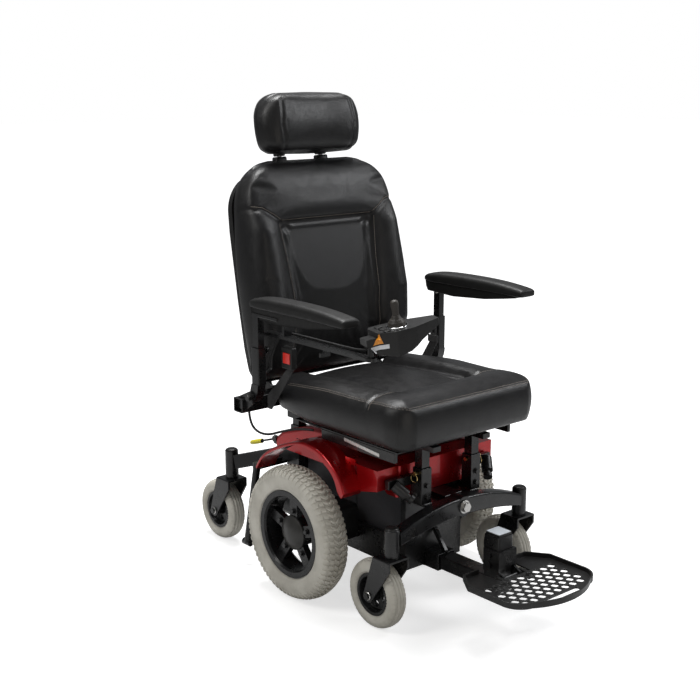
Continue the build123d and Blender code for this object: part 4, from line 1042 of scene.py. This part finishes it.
def bolts(name, places, axis, body, across, height, slot="black_frame"):
    """Hex bolts of one size and direction, as one piece."""
    parts = [hex_bolt(at, axis, across, height) for at in places]
    merged(name, parts, body, MATERIALS[slot], False)


def fittings():
    """Bolts, caps, sleeves and other small hardware."""
    axle_y, axle_z = DRIVE_AXLE
    plastic_black, bright = MATERIALS["black_plastic"], MATERIALS["bright_steel"]
    for name, s in SIDES.items():
        wheel = f"drive_wheel_{name}"
        # five wheel bolts round the hub cap, on the spokes
        at = []
        for k in range(5):
            a = math.radians(90 + 72 * k)
            y, z = axle_y + WHEEL_BOLT_CIRCLE * math.cos(a), axle_z + WHEEL_BOLT_CIRCLE * math.sin(a)
            at.append((s * 0.280, y, z))
        bolts(f"wheel_bolts_{name}", at, (s, 0, 0), wheel, 0.012, 0.006, "wheel_black")
        # valve stem
        stem = [(0.0, 0.0), (0.0042, 0.0), (0.0042, 0.012), (0.0030, 0.013), (0.0030, 0.024), (0.0, 0.025)]
        lathe(
            f"valve_{name}", stem, (s * 0.268, axle_y + 0.075, axle_z + 0.052), (s * 0.9, 0.3, 0.2),
            wheel, MATERIALS["cable_sheath"], "black_plastic", 20, False,
        )
        for place, holder, x, y, top in (
            ("front", "front_beam", 0.229, -0.254, 0.269),
            ("rear", "base", 0.178, 0.485, 0.279),
        ):
            cap = [(0.0, -0.002), (0.0165, -0.002), (0.0172, 0.0), (0.0168, 0.003)]
            cap += [(0.0140, 0.0052), (0.0, 0.0060)]
            lathe(
                f"kingpin_cap_{place}_{name}", cap, (s * x, y, top), (0, 0, 1),
                holder, plastic_black, "black_plastic", 40, False,
            )
            # washers of the axle bolt on the caster fork
            disc = [(0.0, 0.0), (0.011, 0.0), (0.011, 0.0016), (0.0, 0.0016)]
            parts = []
            for e in (-1, 1):
                middle = (s * x + e * 0.0331, y + 0.050, 0.0889)
                parts.append(lathe_data(disc, middle, (e, 0, 0), 24, False))
            fork = f"caster_fork_{place}_{name}"
            merged(f"fork_washers_{place}_{name}", parts, fork, bright)
        # yellow sleeve on the freewheel lever
        slope = math.atan2(-30, 90)
        d = Vector((0, math.cos(slope), math.sin(slope)))
        start = Vector((s * 0.1315, 0.339, 0.338)) + d * 0.062
        sleeve = [(0.0052, 0.0), (0.0066, 0.001), (0.0068, 0.006), (0.0064, 0.012), (0.0070, 0.018)]
        sleeve += [(0.0070, 0.050), (0.0058, 0.0555), (0.0, 0.0565)]
        lever = f"freewheel_lever_{name}"
        lathe(f"lever_sleeve_{name}", sleeve, start, d, lever, YELLOW, "black_frame", 28, False)
        # bolts of the seat sockets, the arms and the back
        parts = [hex_bolt((s * 0.105, -0.210, 0.318), (s, 0, 0), 0.013, 0.006)]
        parts += [hex_bolt((s * 0.088, -0.227, z), (0, -1, 0), 0.011, 0.005) for z in (0.340, 0.310)]
        merged(f"socket_bolts_{name}", parts, "base", MATERIALS["black_frame"], False)
        bolts(f"arm_pivot_bolt_{name}", [(s * 0.341, 0.165, 0.530)], (s, 0, 0), "seat", 0.016, 0.007)
        bolts(f"back_pivot_bolt_{name}", [(s * 0.222, *BACK_PIVOT)], (s, 0, 0), "seat", 0.015, 0.006)
        # bright slide bar under the seat
        verts = []
        for q in (Vector((s * 0.2065, -0.050, 0.4435)), Vector((s * 0.2065, -0.182, 0.4325))):
            for dx, dz in ((-0.001, -0.005), (0.004, -0.005), (0.004, 0.005), (-0.001, 0.005)):
                verts.append(q + Vector((dx, 0, dz)))
        faces = [(0, 1, 2, 3), (4, 7, 6, 5), (0, 4, 5, 1), (1, 5, 6, 2), (2, 6, 7, 3), (3, 7, 4, 0)]
        bar = from_data(f"slide_bar_{name}", verts, faces, "seat", bright, False)
        bevelled(bar, 0.0012)
    # pale cap on top of the footrest's post
    cap = [(-0.0215, -0.0215), (0.0215, -0.0215), (0.0215, 0.0215), (-0.0215, 0.0215)]
    verts = [(x, -0.391 + y, z) for z in (0.2455, 0.2485) for x, y in cap]
    faces = [(3, 2, 1, 0), (4, 5, 6, 7)] + [(i, (i + 1) % 4, 4 + (i + 1) % 4, 4 + i) for i in range(4)]
    bevelled(from_data("post_cap", verts, faces, "footrest", CAP_GREY, False), 0.0015)


def leads():
    """Controller lead: the clipped run to the seat, and the stretch along the bracket."""
    route = [
        (-289, 140, 604), (-289, 172, 580), (-289, 210, 548), (-289, 236, 508), (-289, 242, 460),
        (-285, 228, 421), (-272, 188, 410), (-250, 140, 430), (-231, 97, 442), (-216, 60, 443),
    ]
    lead = tube("controller_lead", [(x / 1000, y / 1000, z / 1000) for x, y, z in route], "seat")
    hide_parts("controller_cable")
    upper = [
        (-0.284, -0.222, 0.716), (-0.272, -0.205, 0.707), (-0.267, -0.150, 0.7015), (-0.267, -0.060, 0.7015),
        (-0.267, 0.030, 0.7015), (-0.2665, 0.100, 0.700), (-0.266, 0.128, 0.690), (-0.268, 0.140, 0.672),
        (-0.278, 0.144, 0.650), (-0.2885, 0.1415, 0.628), (-0.289, 0.1405, 0.606),
    ]
    tube("controller_lead_upper", upper, "arm_right")


def controller_details():
    """Gaiter rings, chrome collar and blank stickers."""
    yaw, pitch = math.radians(-15), math.radians(8)
    x_dir = Vector((math.cos(yaw) * math.cos(pitch), math.sin(yaw) * math.cos(pitch), math.sin(pitch)))
    y_dir = Vector((-math.sin(yaw), math.cos(yaw), 0))
    z_dir = x_dir.cross(y_dir)
    heel = Vector((-0.302, -0.236, 0.742))

    def at(x, y, z):
        return heel + x_dir * x + y_dir * y + z_dir * z

    lathe(
        "joystick_collar",
        [(0.0235, 0.0), (0.0262, 0.0), (0.0262, 0.0016), (0.0250, 0.0026), (0.0238, 0.0024), (0.0235, 0.0)],
        at(STICK_X, 0, 0.0138), z_dir, "controller", MATERIALS["chrome"], "bright_steel", 64,
    )
    # bellows round the stick: rings that shrink upwards
    profile = [(0.0, 0.0), (0.0195, 0.0), (0.0212, 0.0030), (0.0212, 0.0055), (0.0198, 0.0075)]
    profile += [(0.0202, 0.0095), (0.0188, 0.0125), (0.0170, 0.0138), (0.0168, 0.0155), (0.0140, 0.0182)]
    profile += [(0.0122, 0.0190), (0.0116, 0.0210), (0.0098, 0.0240), (0.0086, 0.0275), (0.0, 0.0280)]
    rubber = (z_dir, "joystick", BOOT, "black_plastic", 48, False)
    boot = lathe("joystick_boot", profile, at(STICK_X, 0, 0.0128), *rubber)
    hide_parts("joystick_gimbal")
    grip = [(0.0, 0.030), (0.0092, 0.030), (0.0086, 0.036), (0.0078, 0.044), (0.0082, 0.054), (0.0096, 0.063)]
    grip += [(0.0099, 0.0680), (0.0090, 0.0725), (0.0062, 0.0755), (0.0, 0.0765)]
    knob = lathe("joystick_grip", grip, at(STICK_X, 0, 0.0), *rubber)
    sub = knob.modifiers.new("sub", "SUBSURF")
    sub.levels = sub.render_levels = 1
    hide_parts("joystick_knob")

    tree = surface_tree(nodes["controller_housing"])

    def decal(name, outline, mat):
        """Thin sticker pressed on the housing's near side; outline in its own (x, z)."""
        pts = [Vector(p) for p in outline]
        middle = sum(pts, Vector((0, 0))) / len(pts)
        verts, faces, rings = [], [], []
        rows = 6
        for k in range(rows, -1, -1):
            ring = []
            for i in range(len(pts)):
                a, b = pts[i], pts[(i + 1) % len(pts)]
                for s in range(6):
                    q = a + (b - a) * (s / 6)
                    q = middle + (q - middle) * (k / rows)
                    hit = tree.ray_cast(at(q.x, -0.12, q.y), y_dir)[0]
                    ring.append(len(verts))
                    verts.append((hit if hit is not None else at(q.x, -0.04, q.y)) - y_dir * 0.0004)
            rings.append(ring)
        for a, b in zip(rings, rings[1:]):
            for i in range(len(a)):
                j = (i + 1) % len(a)
                faces.append((a[i], a[j], b[j], b[i]))
        obj = from_data(name, verts, faces, "controller", mat)
        solid = obj.modifiers.new("solid", "SOLIDIFY")
        solid.thickness = 0.0003
        solid.offset = 0

    decal("orange_triangle", [(0.011, -0.013), (0.034, -0.011), (0.0275, 0.012)], ORANGE)
    decal("white_label", [(0.005, -0.026), (0.045, -0.0235), (0.045, -0.0135), (0.005, -0.0165)], WHITE)


# ---------------------------------------------------------------- make everything
studio()
carried_over()
seat()
back()
headrest()
for name, side in SIDES.items():
    arm_pad(name)
    drive_tyre(side, name)
    for place in ("front", "rear"):
        caster_tyre(place, name)
fittings()
leads()
controller_details()
